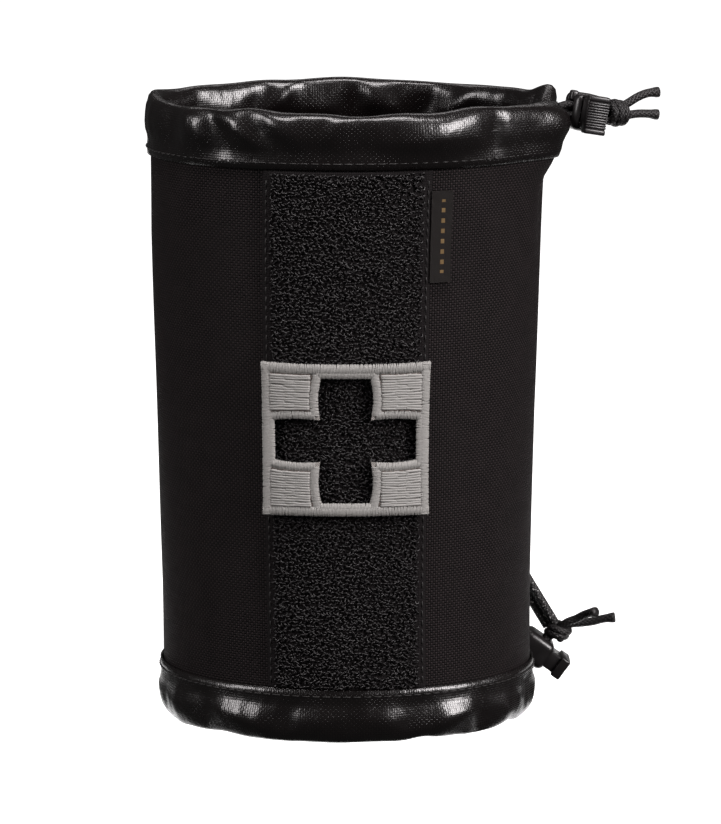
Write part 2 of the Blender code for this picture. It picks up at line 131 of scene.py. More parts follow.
class Shader:
    """A principled material whose colour, roughness and bump are built in code."""

    def __init__(self, name, colour, roughness, **constants):
        self.made = bpy.data.materials.new(name)
        self.made.use_nodes = True
        self.tree = self.made.node_tree
        self.bsdf = self.tree.nodes["Principled BSDF"]
        self.bsdf.inputs["Base Color"].default_value = (*colour, 1.0)
        self.bsdf.inputs["Roughness"].default_value = roughness
        for key, value in constants.items():
            self.bsdf.inputs[key.replace("_", " ")].default_value = value

    def node(self, kind, **settings):
        made = self.tree.nodes.new("ShaderNode" + kind)
        for key, value in settings.items():
            setattr(made, key, value)
        return made

    def feed(self, slot, value):
        if isinstance(value, Value):
            self.tree.links.new(value.socket, slot)
        else:
            slot.default_value = value

    def axes(self, kind):
        """The three numbers of the UV (in millimetres) or Object (metres) coordinates."""
        split = self.node("SeparateXYZ")
        self.tree.links.new(self.node("TexCoord").outputs[kind], split.inputs[0])
        return [Value(self, socket) for socket in split.outputs]

    def noise(self, kind, scale, detail=3.0, stretch=(1, 1, 1)):
        mapping = self.node("Mapping")
        mapping.inputs["Scale"].default_value = stretch
        self.tree.links.new(self.node("TexCoord").outputs[kind], mapping.inputs[0])
        texture = self.node("TexNoise")
        texture.inputs["Scale"].default_value = scale
        texture.inputs["Detail"].default_value = detail
        self.tree.links.new(mapping.outputs[0], texture.inputs["Vector"])
        return Value(self, texture.outputs["Fac"])

    def mix(self, factor, low, high):
        node = self.node("Mix", data_type="RGBA")
        self.feed(node.inputs["Factor"], factor)
        node.inputs[6].default_value, node.inputs[7].default_value = (*low, 1), (*high, 1)
        return Value(self, node.outputs[2])

    def bump(self, height, distance, strength=1.0):
        node = self.node("Bump")
        node.inputs["Distance"].default_value = distance
        node.inputs["Strength"].default_value = strength
        self.feed(node.inputs["Height"], height)
        self.tree.links.new(node.outputs[0], self.bsdf.inputs["Normal"])

    def set(self, name, value):
        self.feed(self.bsdf.inputs[name], value)


floor_look = Shader("studio_white", (0.6, 0.6, 0.6), 0.9, Emission_Color=(1, 1, 1, 1),
                    Emission_Strength=1.0)
grain = floor_look.noise("Object", 900.0, 2.0)
floor_look.set("Roughness", 0.86 + grain * 0.08)
# The floor begins behind the sleeve and a lower card carries on under it, so the glossy
# hems have no bright floor to mirror.
for name, corners in (
    ("studio_floor", [(-0.14, 0.05, 0), (0.14, 0.05, 0), (2, 14, 0), (-2, 14, 0)]),
    ("studio_card", [(-0.25, 0.1, -0.15), (0.25, 0.1, -0.15), (0.25, 1.2, -0.15), (-0.25, 1.2, -0.15)]),
):
    sheet = bpy.data.meshes.new(name)
    sheet.from_pydata(corners, [], [(0, 1, 2, 3)])
    sheet.materials.append(floor_look.made)
    card = bpy.data.objects.new(name, sheet)
    scene.collection.objects.link(card)

# ---------------------------------------------------------------- cords beyond the hems
# 3 mm elastic: a rubber core in a braided black sheath. Two strands leave each hem, pass
# the cord lock side by side, share one overhand stopper knot and end in heat-cut tails.
# A doubled elastic from the tab behind the sleeve ends in the lower knot and is
# stretched, so its pale rubber shows through the opened braid as flecks.


def catmull(points, spacing=0.8):
    """Points about a spacing apart on a smooth curve through the given ones."""
    points = np.array(points, float)
    ends = np.vstack([2 * points[0] - points[1], points, 2 * points[-1] - points[-2]])
    dense = []
    for a, b, c, d in zip(ends, ends[1:], ends[2:], ends[3:]):
        t = np.linspace(0, 1, 24, endpoint=False)[:, None]
        dense.append(0.5 * (2 * b + (c - a) * t + (2 * a - 5 * b + 4 * c - d) * t**2
                            + (3 * b - a - 3 * c + d) * t**3))
    dense = np.vstack([*dense, points[-1:]])
    run = np.append(0, np.cumsum(np.linalg.norm(np.diff(dense, axis=0), axis=1)))
    at = np.linspace(0, run[-1], max(4, round(run[-1] / spacing)) + 1)
    return np.stack([np.interp(at, run, dense[:, k]) for k in range(3)], 1)


def new_object(name, verts, faces, look=None, uv=None):
    mesh = bpy.data.meshes.new(name)
    mesh.from_pydata([tuple(v) for v in verts], [], faces)
    if uv is not None:
        mesh.uv_layers.new(name="UVMap").data.foreach_set("uv", np.ravel(uv))
    if look:
        mesh.materials.append(look.made)
    mesh.update()
    mesh.shade_smooth()
    made = bpy.data.objects.new(name, mesh)
    scene.collection.objects.link(made)
    return made


def outward(item):
    """Turn every face of a closed mesh to look out."""
    shape = bmesh.new()
    shape.from_mesh(item.data)
    bmesh.ops.recalc_face_normals(shape, faces=shape.faces)
    shape.to_mesh(item.data)
    shape.free()
    return item


def tube_parts(path, radius, sides, matrix=None):
    """Vertices, faces and UVs of a capped tube along a path; UVs are mm along, turns."""
    path = np.array(path, float)
    radii = np.broadcast_to(radius, (len(path),))
    along = np.gradient(path, axis=0)
    along /= np.linalg.norm(along, axis=1)[:, None]
    side = np.cross(along[0], (0.31, 0.17, 0.93))
    rings, uvs, run = [], [], 0.0
    for k, (point, way) in enumerate(zip(path, along)):
        side = side - way * side.dot(way)
        side /= np.linalg.norm(side)
        up = np.cross(way, side)
        turn = np.linspace(0, 2 * pi, sides, endpoint=False)[:, None]
        rings.append(point + radii[k] * (np.cos(turn) * side + np.sin(turn) * up))
        run += np.linalg.norm(path[k] - path[k - 1]) if k else 0.0
        uvs.append(run)
    verts = np.vstack([*rings, path[:1], path[-1:]])
    faces, uv = [], []
    for k in range(len(path) - 1):
        for s in range(sides):
            n = (s + 1) % sides
            faces.append((k * sides + s, k * sides + n, (k + 1) * sides + n, (k + 1) * sides + s))
            uv += [(uvs[k], s / sides), (uvs[k], (s + 1) / sides),
                   (uvs[k + 1], (s + 1) / sides), (uvs[k + 1], s / sides)]
    first, last, base = len(verts) - 2, len(verts) - 1, (len(path) - 1) * sides
    for s in range(sides):
        n = (s + 1) % sides
        faces += [(first, n, s), (last, base + s, base + n)]
        uv += [(0, 0)] * 3 + [(run, 0)] * 3
    if matrix is not None:
        verts = verts @ np.array(matrix.to_3x3()).T + np.array(matrix.translation)
    return verts, faces, uv


def tube(name, path, radius, look, sides=14):
    """A tube piece; path in millimetres in the frame."""
    verts, faces, uv = tube_parts(path, radius, sides)
    return outward(new_object(name, verts * 0.001, faces, look, uv))


def braid(name, colour, fleck, share):
    """A braided sheath: helical strands both ways; fleck shows between them."""
    look = Shader(name, colour, 0.48, Specular_IOR_Level=0.4)
    along, around, _ = look.axes("UV")
    left = (around * 6 + along / 1.5).math("FRACT")
    right = (around * 6 - along / 1.5).math("FRACT")
    rise = [1 - (way * 2 - 1).math("POWER", 2.0) for way in (left, right)]
    over = ((along / 0.75).math("FRACT")).math("GREATER_THAN", 0.5)
    height = rise[0] * over + rise[1] * (1 - over)
    spots = look.noise("UV", 1.0, 1.0, (0.9, 7.0, 1.0))
    gap = spots.math("GREATER_THAN", share) * (1 - height).math("GREATER_THAN", 0.35)
    # Painted shade and painted highlight: the grooves between the strands are painted darker and the
    # strand crowns lighter.
    crown_light_groove_shade = look.mix(height * 0.8, tuple(c * 0.45 for c in colour), tuple(c * 1.5 for c in colour))
    mixed = look.node("Mix", data_type="RGBA")
    look.feed(mixed.inputs["Factor"], gap)
    look.tree.links.new(crown_light_groove_shade.socket, mixed.inputs[6])
    mixed.inputs[7].default_value = (*fleck, 1)
    look.set("Base Color", Value(look, mixed.outputs[2]))
    look.bump(height, 0.0002)
    return look


cord_look = braid("braided_cord", (0.009, 0.0078, 0.0082), (0.03, 0.028, 0.029), 0.72)
stretched_look = braid("stretched_cord", (0.014, 0.0135, 0.0135), (0.42, 0.42, 0.41), 0.6)


def lock_frame(centre, plunger_way, roll):
    """Local X runs along the cord, Y along the lock's long side, Z along its plunger."""
    way = Vector(plunger_way).normalized()
    side = Vector((0, 0, 1)) if abs(way.z) < 0.3 else Vector((0, -1, 0))
    tall = Matrix.Rotation(roll, 3, way) @ (side - way * side.dot(way)).normalized()
    turned = Matrix((tall.cross(way).normalized(), tall, way)).transposed().to_4x4()
    return Matrix.Translation(Vector(centre) + Vector((-1.2, 0.1, 0.0))) @ turned


def overhand(centre, radii, turns, width, lean, phase=0.0):
    """The visible wraps of an overhand knot: a short leaning coil round the strands."""
    share = np.linspace(0, 1, int(26 * turns))
    angle = 2 * pi * turns * share + phase
    fat = 1 - 0.28 * np.abs(2 * share - 1) ** 3
    x = (share - 0.5) * width + lean * np.sin(angle)
    return np.stack([centre[0] + x, centre[1] + radii[0] * fat * np.cos(angle),
                     centre[2] + radii[1] * fat * np.sin(angle)], 1)


top_frame = lock_frame((72.6, 4.0, 186.2), (0.342, -0.94, 0.0), radians(-10))
bottom_frame = lock_frame((60.2, 33.0, 11.4), (0.814, 0.0, -0.581), 0.0)
FACE = 5.5  # half the length of a lock, from its middle to the plunger's side
BORE = FACE - 4.0
CORD_RADIUS = 1.32
STRANDS = {
    # start at the hem in the frame; then the lock's own axes
    ("top", "a"): ((63.9, 0.1, 188.2), [(-5.6, 1.65, BORE), (0, 1.65, BORE), (5.4, 1.65, BORE),
                                        (8.0, 1.7, 1.2), (10.6, 2.6, 1.0), (13.4, 4.4, 1.1),
                                        (16.6, 6.9, 1.1), (19.7, 8.6, 1.1), (23.4, 9.5, 1.1)]),
    ("top", "b"): ((63.9, 0.1, 184.5), [(-5.6, -1.65, BORE), (0, -1.65, BORE), (5.4, -1.65, BORE),
                                        (8.0, -1.4, 1.2), (10.6, -0.3, 1.0), (13.9, 0.9, 1.1),
                                        (17.4, 1.9, 1.1), (20.8, 2.4, 1.1), (24.4, 2.6, 1.1)]),
    ("bottom", "a"): ((45.8, 30.9, 5.1), [(-6.2, -1.65, BORE), (-3.2, -1.65, BORE),
                                          (0, -1.65, BORE), (5.4, -1.65, BORE),
                                          (8.6, 0.6, 2.6), (12.6, 1.75, 3.3),
                                          (15.5, 2.3, 5.0), (18.2, 3.3, 6.1), (20.3, 4.6, 7.3),
                                          (21.6, 6.0, 8.2)]),
    ("bottom", "b"): ((42.8, 33.6, 5.1), [(-6.2, 1.65, BORE), (-3.2, 1.65, BORE),
                                          (0, 1.65, BORE), (5.4, 1.65, BORE),
                                          (8.6, -0.6, 3.5), (12.2, -1.75, 5.0), (15.0, -1.7, 8.0),
                                          (17.5, -1.2, 10.5), (20.1, -0.6, 12.5),
                                          (22.8, 0.0, 15.2)]),
}
strands = {}
for (end, letter), (start, local) in STRANDS.items():
    matrix = top_frame if end == "top" else bottom_frame
    route = catmull([start] + [tuple(matrix @ Vector(p)) for p in local])
    radii = np.full(len(route), CORD_RADIUS)
    radii[-5:] = (1.34, 1.4, 1.52, 1.66, 1.62)  # the heat-cut end swells
    item = tube(f"{end}_cord_strand_{letter}", route, radii, cord_look)
    strands[end, letter] = (item, route)
    knot_point = matrix @ Vector((7.4, 0, BORE)) * 0.001
    lock_point = matrix @ Vector((-5.0, 0, BORE)) * 0.001
    end + "_cord_end"
    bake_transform(item)
    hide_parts(*(f"{end}_cord_{part}_{letter}" for part in ("link", "run", "tail")))

KNOTS = {
    "top": [((10.4, 1.2, 1.1), (3.0, 2.7), 2.6, 4.6, 0.9, 0.4)],
    "bottom": [((8.7, 0.0, 3.1), (3.1, 2.7), 2.6, 4.4, 0.7, 1.4)],
}
for end, wraps in KNOTS.items():
    matrix = top_frame if end == "top" else bottom_frame
    verts, faces, uv = [], [], []
    for centre, reach, turns, width, lean, phase in wraps:
        path = overhand(centre, reach, turns, width, lean, phase)
        v, f, u = tube_parts(path, CORD_RADIUS, 14, matrix)
        faces += [tuple(i + sum(map(len, verts)) for i in face) for face in f]
        verts.append(v)
        uv += u
    item = outward(new_object(end + "_stopper_knot", np.vstack(verts) * 0.001, faces, cord_look, uv))
    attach(item, end + "_cord_end")
    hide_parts(end + "_cord_knot")
for end in ("top", "bottom"):
    nodes[end + "_drawcord"].data.materials[0] = cord_look.made

# ---------------------------------------------------------------- sleeve of woven nylon
# One panel of plain-weave nylon sewn to a tube; it sags a little between the two hems
# and wrinkles below the place where the upper drawcord leaves.

WALL = np.array([
    (0.0, 54.6, 44.2, 0.4), (9.4, 56.0, 45.8, 0.4), (17.0, 56.4, 46.2, 0.4), (40.0, 56.4, 46.4, 0.2),
    (95.0, 57.6, 46.5, 0.0), (150.0, 59.2, 46.5, 0.2), (173.0, 59.6, 46.5, 0.6),
    (182.0, 60.0, 46.5, 1.2), (191.5, 59.8, 46.2, 1.2),
]).T
FRONT, BACK = -pi / 2, pi / 2


def wall(turn, height, out=0.0):
    """Points in metres at an angle from +X and a height, moved out from the wall."""
    turn, height, out = np.broadcast_arrays(turn, height, out)
    wide, deep, middle = (np.interp(height, WALL[0], row) for row in WALL[1:])
    x, y = np.cos(turn) / wide, np.sin(turn) / deep
    size = np.hypot(x, y)
    return np.stack([middle + wide * np.cos(turn) + x / size * out - 1.2,
                     deep * np.sin(turn) + y / size * out + 0.1, height], -1) * 0.001


def turn_of(centre, arc, height):
    """Angles whose arc lengths from the centre angle are the given ones."""
    wide, deep = (float(np.interp(height, WALL[0], row)) for row in WALL[1:3])
    turns = np.linspace(-2.4, 2.4, 4001)
    speed = np.hypot(wide * np.sin(centre + turns), deep * np.cos(centre + turns))
    run = np.cumsum(speed) * (turns[1] - turns[0])
    return centre + np.interp(arc, run - run[2000], turns)


def waves(turn, seed, low, high, count=6):
    """A smooth random line round the sleeve, from -1 to 1, that closes on itself."""
    rng = np.random.default_rng(seed)
    made = sum(np.sin(rng.integers(low, high + 1) * turn + rng.uniform(0, 2 * pi))
               for _ in range(count))
    return made / count**0.5 / 1.5


def folds(turn, height, rows):
    """Soft ridges: angle, height, half widths across and up, lean per mm, height of ridge."""
    out = 0.0
    for angle, middle, across, up, lean, rise in rows:
        far = np.degrees(turn) - angle - lean * (height - middle)
        far = (far + 180) % 360 - 180
        out = out + rise * np.exp(-(far / across) ** 2 - ((height - middle) / up) ** 2)
    return out


SAG = [(-20, 163, 7, 16, -0.5, 0.4), (-34, 160, 5, 18, -0.6, -0.6), (-48, 158, 6, 20, -0.5, 0.45),
       (-8, 155, 7, 18, 0.2, -0.7), (188, 160, 8, 18, 0.1, -0.4), (-142, 165, 6, 16, 0.3, 0.4),
       (200, 60, 10, 40, 0.0, 0.4), (-40, 60, 8, 30, 0.1, 0.35), (-140, 50, 9, 30, -0.1, 0.35)]


def flare(turn, height):
    """The cloth is drawn out to a nose in front of the upper drawcord's exit."""
    reach = np.interp(height, (163, 168, 172, 175, 180, 186, 189, 191.5),
                      (0, 1.2, 3.4, 4.6, 5.2, 5.8, 4.4, 1.8))
    far = (np.degrees(turn) + 13.5 + 180) % 360 - 180
    return reach * np.exp(-(far / np.where(far < 0, 13.0, 8.5)) ** 2)


def sag(turn, height):
    """How far the cloth stands off its even shape; still behind, where webbing lies."""
    ends = np.clip((height - 14) / 22, 0, 1) * np.clip((182 - height) / 14, 0, 1)
    free = np.clip(0.75 - np.sin(turn), 0, 1)
    soft = 0.22 * waves(turn + height * 0.004, 3, 3, 9) * np.sin(height / 21.0 + 2 * turn)
    still = folds(turn, height, SAG) * np.clip((183 - height) / 8, 0, 1) + soft * ends
    return still * free + flare(turn, height)


def skin(name, points, look, uv, close_rows=True):
    """A mesh from rows and closed columns of points; uv has one more of each if closed."""
    rows, columns = points.shape[:2]
    r = np.arange(rows if close_rows else rows - 1)[:, None]
    c = np.arange(columns)[None, :]
    r, c = (k.ravel() for k in np.broadcast_arrays(r, c))
    here = [(r, c), (r, c + 1), (r + 1, c + 1), (r + 1, c)]
    faces = np.stack([a % rows * columns + b % columns for a, b in here], 1)
    corner_uv = np.stack([uv[a, b] for a, b in here], 1)
    return new_object(name, points.reshape(-1, 3), faces.tolist(), look, corner_uv)


def weave(look, pitch, u, v, weft=1.0):
    """Height of a plain weave, from 0 to 1; weft is the height of the level threads."""
    a, b = u / pitch, v / pitch
    across = 1 - (a.math("FRACT") * 2 - 1).math("POWER", 2.0)
    up = 1 - (b.math("FRACT") * 2 - 1).math("POWER", 2.0)
    odd = ((a.math("FLOOR") + b.math("FLOOR")) / 2).math("FRACT") * 2
    return odd * across * (0.45 + up * 0.55) + (1 - odd) * up * (0.45 + across * 0.55) * weft


nylon = Shader("woven_nylon", (0.006, 0.0055, 0.0055), 0.72, Specular_IOR_Level=0.14)
u, v, _ = nylon.axes("UV")
cloth = weave(nylon, 0.74, u, v)
# Painted highlight: the warp knuckles are painted bright in a checker of glints, and the weft and gaps
# are painted dark; blotch adds random tone.
knuckle_glint = weave(nylon, 0.74, u, v, 0.15)
blotch = nylon.noise("UV", 0.16, 4.0)
nylon.set("Base Color", nylon.mix(knuckle_glint * 1.0 + blotch * 0.3 - 0.15,
                                  (0.0008, 0.0006, 0.0006), (0.024, 0.0175, 0.018)))
nylon.set("Roughness", 0.8 - cloth * 0.2)
nylon.bump(cloth, 0.00022, 1.0)

columns = 300
turns = np.linspace(0, 2 * pi, columns, endpoint=False)
levels = np.concatenate([np.linspace(12, 179.5, 90)])
profile = [(0.6, z) for z in levels] + [(-0.6, z) for z in levels[::-1]]
out, heights = (np.array(part)[:, None] for part in zip(*profile))
body_points = wall(turns[None, :], heights, out + sag(turns[None, :], heights))
arc_mm = np.linspace(0, 328.0, columns + 1)
body_uv = np.stack(np.broadcast_arrays(arc_mm[None, :], np.append(heights, heights[:1], 0)), -1)
body = outward(skin("sleeve", body_points, nylon, body_uv))
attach(body, "pouch")
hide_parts("body_tube")

# ---------------------------------------------------------------- hems of coated nylon
# A bias strip of glossy coated nylon is folded over each end and sewn down through all
# layers; the drawcord in it gathers the strip, so it puckers and bulges.

glossy = Shader("coated_nylon", (0.006, 0.0042, 0.0042), 0.3, Specular_IOR_Level=0.7)
u, v, _ = glossy.axes("UV")
cloth = weave(glossy, 0.74, u, v, 0.5)
creases = glossy.noise("UV", 0.35, 5.0, (1.0, 0.55, 1.0))
wide_creases = glossy.noise("UV", 0.09, 3.0, (1.0, 0.8, 1.0))
# Painted shade: the colour is darker between the threads and lighter on their crowns.
glossy.set("Base Color", glossy.mix(cloth, (0.0016, 0.001, 0.001), (0.006, 0.0042, 0.0042)))
glossy.set("Roughness", 0.27 - cloth * 0.08 + creases * 0.05)
glossy.bump(cloth * 0.03 + creases * 0.14 + wide_creases * 0.6, 0.0012, 0.9)

# Cross-section of the band: offset from the wall and drop from the rim.
BAND = np.array([
    (1.6, 17.0), (1.75, 15.0), (1.7, 12.6), (2.1, 10.8), (2.75, 9.0), (3.0, 7.0), (3.0, 4.6),
    (2.75, 2.6), (2.1, 1.0), (1.1, 0.2), (0.0, 0.0), (-1.1, 0.2), (-2.1, 1.0), (-2.75, 2.6),
    (-3.0, 4.6), (-3.0, 7.0), (-2.7, 9.0), (-2.0, 10.8), (-1.6, 12.6), (-1.6, 17.0),
    (-0.95, 17.0), (-1.0, 12.6), (-1.9, 9.6), (-2.3, 7.0), (-2.3, 4.6), (-1.9, 2.4), (-0.9, 0.9),
    (0.0, 0.75), (0.9, 0.9), (1.9, 2.4), (2.3, 4.6), (2.3, 7.0), (1.9, 9.6), (1.0, 12.6),
    (0.95, 17.0),
])
TOP_FOLDS = [  # on the outer face: angle, drop, half widths, lean, rise
    (-30, 10, 6, 8, 0.4, -1.0), (-45, 9, 5, 9, 0.0, -1.9), (-66, 8, 12, 9, -0.5, 2.1),
    (-60, 13, 9, 4, 0.0, 0.5), (-86, 10, 7, 5, 0.0, -1.0), (-92, 3, 3, 4, -1.0, 0.9),
    (-101, 8, 4, 6, 0.8, -1.0), (-108, 4, 5, 5, 1.2, 1.5), (-115, 9, 4, 7, 0.4, -1.5),
    (-121, 6, 3.5, 9, 1.3, 1.9), (-129, 8, 4, 8, 0.6, -1.2), (-138, 4, 5, 6, 0.4, 1.4),
    (-140, 12, 6, 4, 0.0, 0.8), (-150, 8, 5, 8, 0.0, -1.2), (-166, 5, 9, 9, 0.0, 1.0),
    (180, 4, 16, 8, 0.0, -1.4), (33, 7, 5, 9, 0.0, -1.0),
]
TOP_INNER = [  # on the inner face, which shows behind the mouth
    (40, 4, 10, 4, 0.0, 1.2), (55, 8, 6, 9, 1.2, 2.0), (66, 9, 5, 7, 0.5, -1.6),
    (79, 8, 5, 9, -0.8, 1.9), (90, 8, 5, 9, 0.4, -1.6), (101, 10, 8, 5, 0.0, 1.4),
    (113, 6, 4, 9, 0.9, 2.0), (121, 9, 5, 8, 0.4, -1.5), (132, 9, 8, 5, 0.0, 1.5),
    (145, 7, 5, 8, 0.0, -1.2),
]
TOP_RIM = [  # rise of the rim: angle, unused height, half width, up, lean, rise
    (-172, 0, 9, 99, 0, 1.8), (172, 0, 12, 99, 0, 1.2), (-50, 0, 9, 99, 0, 0.9),
    (-119, 0, 8, 99, 0, 0.9), (-85, 0, 18, 99, 0, -0.6), (13, 0, 6, 99, 0, 2.4),
    (-4, 0, 7, 99, 0, -2.4), (95, 0, 25, 99, 0, 0.8), (60, 0, 12, 99, 0, -0.4),
]
BOTTOM_FOLDS = [
    (-56, 7, 8, 5, 1.4, 1.6), (-122, 6, 9, 5, -1.4, 1.6), (-108, 9, 5, 6, 0.5, -1.1),
    (-98, 6, 6, 5, 0.3, 0.8), (-88, 9, 5, 6, 0.3, -0.8), (-78, 6, 6, 5, -0.4, 0.8),
    (-68, 10, 5, 6, 0.3, -1.0), (-138, 8, 5, 7, 0.0, -1.1), (-43, 8, 5, 7, 0.0, -1.3),
    (-30, 6, 7, 8, 0.0, 0.4), (-14, 10, 8, 9, 0.0, -1.6), (-152, 7, 7, 8, 0.0, 0.9),
    (-165, 8, 5, 7, 0.0, -0.8), (-3, 6, 6, 7, 0.0, 0.5), (14, 8, 5, 7, 0.0, -1.0),
]
BOTTOM_RIM = [
    (-66, 0, 5, 99, 0, -1.0), (-45, 0, 5, 99, 0, 0.9), (-110, 0, 6, 99, 0, 0.4),
    (-132, 0, 6, 99, 0, -0.6), (-28, 0, 5, 99, 0, -1.3), (-152, 0, 6, 99, 0, 0.7),
]


def band(name, rim, way, outer, inner, rim_rows, seed):
    """A closed strip round the sleeve; way is 1 for the upper hem and -1 for the lower."""
    turn = np.linspace(0, 2 * pi, 420, endpoint=False)[None, :]
    off, drop = (part[:, None] for part in BAND.T)
    loose = np.clip((16.0 - drop) / 8.0, 0, 1)
    slack = 0.25 * waves(turn, seed, 9, 26) + 0.12 * waves(turn, seed + 1, 30, 62)
    face = np.where(off > 0, 1.0, -1.0)
    fold = np.where(off > 0, folds(turn, drop, outer), folds(turn, drop, inner))
    middle = np.exp(-(drop / 1.4) ** 2)
    fold = np.where(off > 0, fold, 0) * (1 - middle * 0.5) - np.where(off > 0, 0, fold)
    push = fold * loose + face * slack * loose * (1 - middle) + flare(turn, rim - way * drop)
    if way > 0:
        push = push + folds(turn, drop, [(12, 0, 6.5, 6, 0.0, 2.8)])
    lift = folds(turn, 0 * drop, rim_rows) + 0.22 * waves(turn, seed + 2, 6, 18)
    height = rim - way * drop + way * lift * np.clip((12 - drop) / 12, 0, 1) ** 1.5
    height = np.maximum(height, 0.05)
    points = wall(turn, height, off + push)
    run = np.append(0, np.cumsum(np.hypot(*np.diff(BAND, axis=0).T)))
    run = np.append(run, run[-1] + 0.6)[:, None]
    uv = np.stack(np.broadcast_arrays(np.linspace(0, 345.0, 421)[None, :], run), -1)
    item = outward(skin(name, points, glossy, uv))
    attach(item, "pouch")
    return item


top_band = band("hem_top", 191.5, 1, TOP_FOLDS, TOP_INNER, TOP_RIM, 11)
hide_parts("top_hem")
bottom_band = band("hem_bottom", 0.0, -1, BOTTOM_FOLDS, BOTTOM_FOLDS, BOTTOM_RIM, 21)
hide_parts("bottom_hem")

# ---------------------------------------------------------------- repeats on points
# Stitches, pile loops and embroidery threads are one small shape on many points.


def instancer():
    """Geometry nodes: one shape on every point, turned and sized by the point."""
    tree = bpy.data.node_groups.new("shape_on_points", "GeometryNodeTree")
    sockets = {}
    for name, kind in (("Geometry", "Geometry"), ("shape", "Object"), ("look", "Material"),
                       ("size_spread", "Float"), ("seed", "Int")):
        sockets[name] = tree.interface.new_socket(name, in_out="INPUT",
                                                  socket_type="NodeSocket" + kind)
    tree.interface.new_socket("Geometry", in_out="OUTPUT", socket_type="NodeSocketGeometry")
    add, link = tree.nodes.new, tree.links.new
    given, made = add("NodeGroupInput"), add("NodeGroupOutput")
    place, shape, real = (add("GeometryNode" + kind) for kind in
                          ("InstanceOnPoints", "ObjectInfo", "RealizeInstances"))
    turn, look, size = (add(kind) for kind in (
        "GeometryNodeInputNamedAttribute", "GeometryNodeSetMaterial", "FunctionNodeRandomValue"))
    turn.data_type, turn.inputs["Name"].default_value = "FLOAT_VECTOR", "turn"
    low, high = (add("ShaderNodeMath") for _ in range(2))
    low.operation, high.operation = "SUBTRACT", "ADD"
    for node in (low, high):
        node.inputs[0].default_value = 1.0
        link(given.outputs["size_spread"], node.inputs[1])
    size.data_type = "FLOAT"
    link(low.outputs[0], size.inputs[2])
    link(high.outputs[0], size.inputs[3])
    link(given.outputs["seed"], size.inputs["Seed"])
    link(given.outputs["Geometry"], place.inputs["Points"])
    link(given.outputs["shape"], shape.inputs["Object"])
    link(shape.outputs["Geometry"], place.inputs["Instance"])
    link(turn.outputs["Attribute"], place.inputs["Rotation"])
    link(size.outputs[1], place.inputs["Scale"])
    link(place.outputs[0], real.inputs[0])
    link(real.outputs[0], look.inputs["Geometry"])
    link(given.outputs["look"], look.inputs["Material"])
    link(look.outputs[0], made.inputs[0])
    return tree, {name: socket.identifier for name, socket in sockets.items()}


TREE, SOCKET = instancer()


def repeat(name, shape, places, look, spread=0.0, seed=1):
    """The shape on each of (point, x way, z way); shapes are in metres, X along."""
    mesh = bpy.data.meshes.new(name + "_points")
    mesh.from_pydata([tuple(p) for p, _, _ in places], [], [])
    turns = []
    for _, x, z in places:
        x, z = Vector(x).normalized(), Vector(z)
        z = (z - x * z.dot(x)).normalized()
        turns.append(Matrix((x, z.cross(x), z)).transposed().to_euler())
    mesh.attributes.new("turn", "FLOAT_VECTOR", "POINT").data.foreach_set("vector", np.ravel(turns))
    holder = bpy.data.objects.new(name + "_points", mesh)
    scene.collection.objects.link(holder)
    step = holder.modifiers.new("repeat", "NODES")
    step.node_group = TREE
    for key, value in zip(("shape", "look", "size_spread", "seed"),
                          (shape, look.made, spread, seed)):
        step[SOCKET[key]] = value
    return settle(holder, name, look)


def settle(item, name, look=None, remove=()):
    """The item as a plain mesh piece with its modifiers applied."""
    ready = item.evaluated_get(bpy.context.evaluated_depsgraph_get())
    mesh = bpy.data.meshes.new_from_object(ready)
    mesh.name = name
    for gone in (item, *remove):
        bpy.data.objects.remove(gone)
    made = bpy.data.objects.new(name, mesh)
    scene.collection.objects.link(made)
    mesh.shade_smooth()
    mesh.materials.clear()
    if look:
        mesh.materials.append(look.made)
    return made


def thread_shape(name, path, radius, sides=5):
    verts, faces, _ = tube_parts(path, radius, sides)
    made = outward(new_object(name, verts * 0.001, faces))
    scene.collection.objects.unlink(made)
    return made


def along_wall(turn, height, out, heading):
    """A place for a repeat: heading is the angle of its X from level on the wall."""
    point, beside, above = wall(np.array([turn, turn + 1e-3, turn]),
                                np.array([height, height, height + 0.1]), out)
    level, up = Vector(beside - point).normalized(), Vector(above - point).normalized()
    return point, level * cos(heading) + up * sin(heading), level.cross(up)


# ---------------------------------------------------------------- hem and tape stitching
# Bonded nylon thread, 0.35 mm, in lockstitch of 3 mm: one row round each hem near its
# sewn edge and one up each side of the loop tape.

thread = Shader("sewing_thread", (0.013, 0.0115, 0.0112), 0.5, Specular_IOR_Level=0.4)
ply = thread.noise("Object", 5200.0, 1.0)
thread.set("Base Color", thread.mix(ply, (0.004, 0.0035, 0.0035), (0.022, 0.02, 0.0195)))
stitch = thread_shape("stitch", [(-1.15, 0, -0.32), (-0.8, 0, 0.02), (0, 0, 0.14), (0.8, 0, 0.02),
                                 (1.15, 0, -0.32)], 0.2)


def hem_row(name, height):
    places = [along_wall(turn, height, 1.86, 0.0)
              for turn in np.linspace(0, 2 * pi, 116, endpoint=False)]
    item = repeat(name, stitch, places, thread, 0.06, 5)
    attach(item, "pouch")


hem_row("hem_top_stitches", 176.6)
hem_row("hem_bottom_stitches", 14.9)

# ---------------------------------------------------------------- loop field on the front
# 50 mm nylon loop tape: a knitted ground with flat woven selvedges, and rows of small
# napped loops between them. It runs from hem to hem and is stitched along both edges.

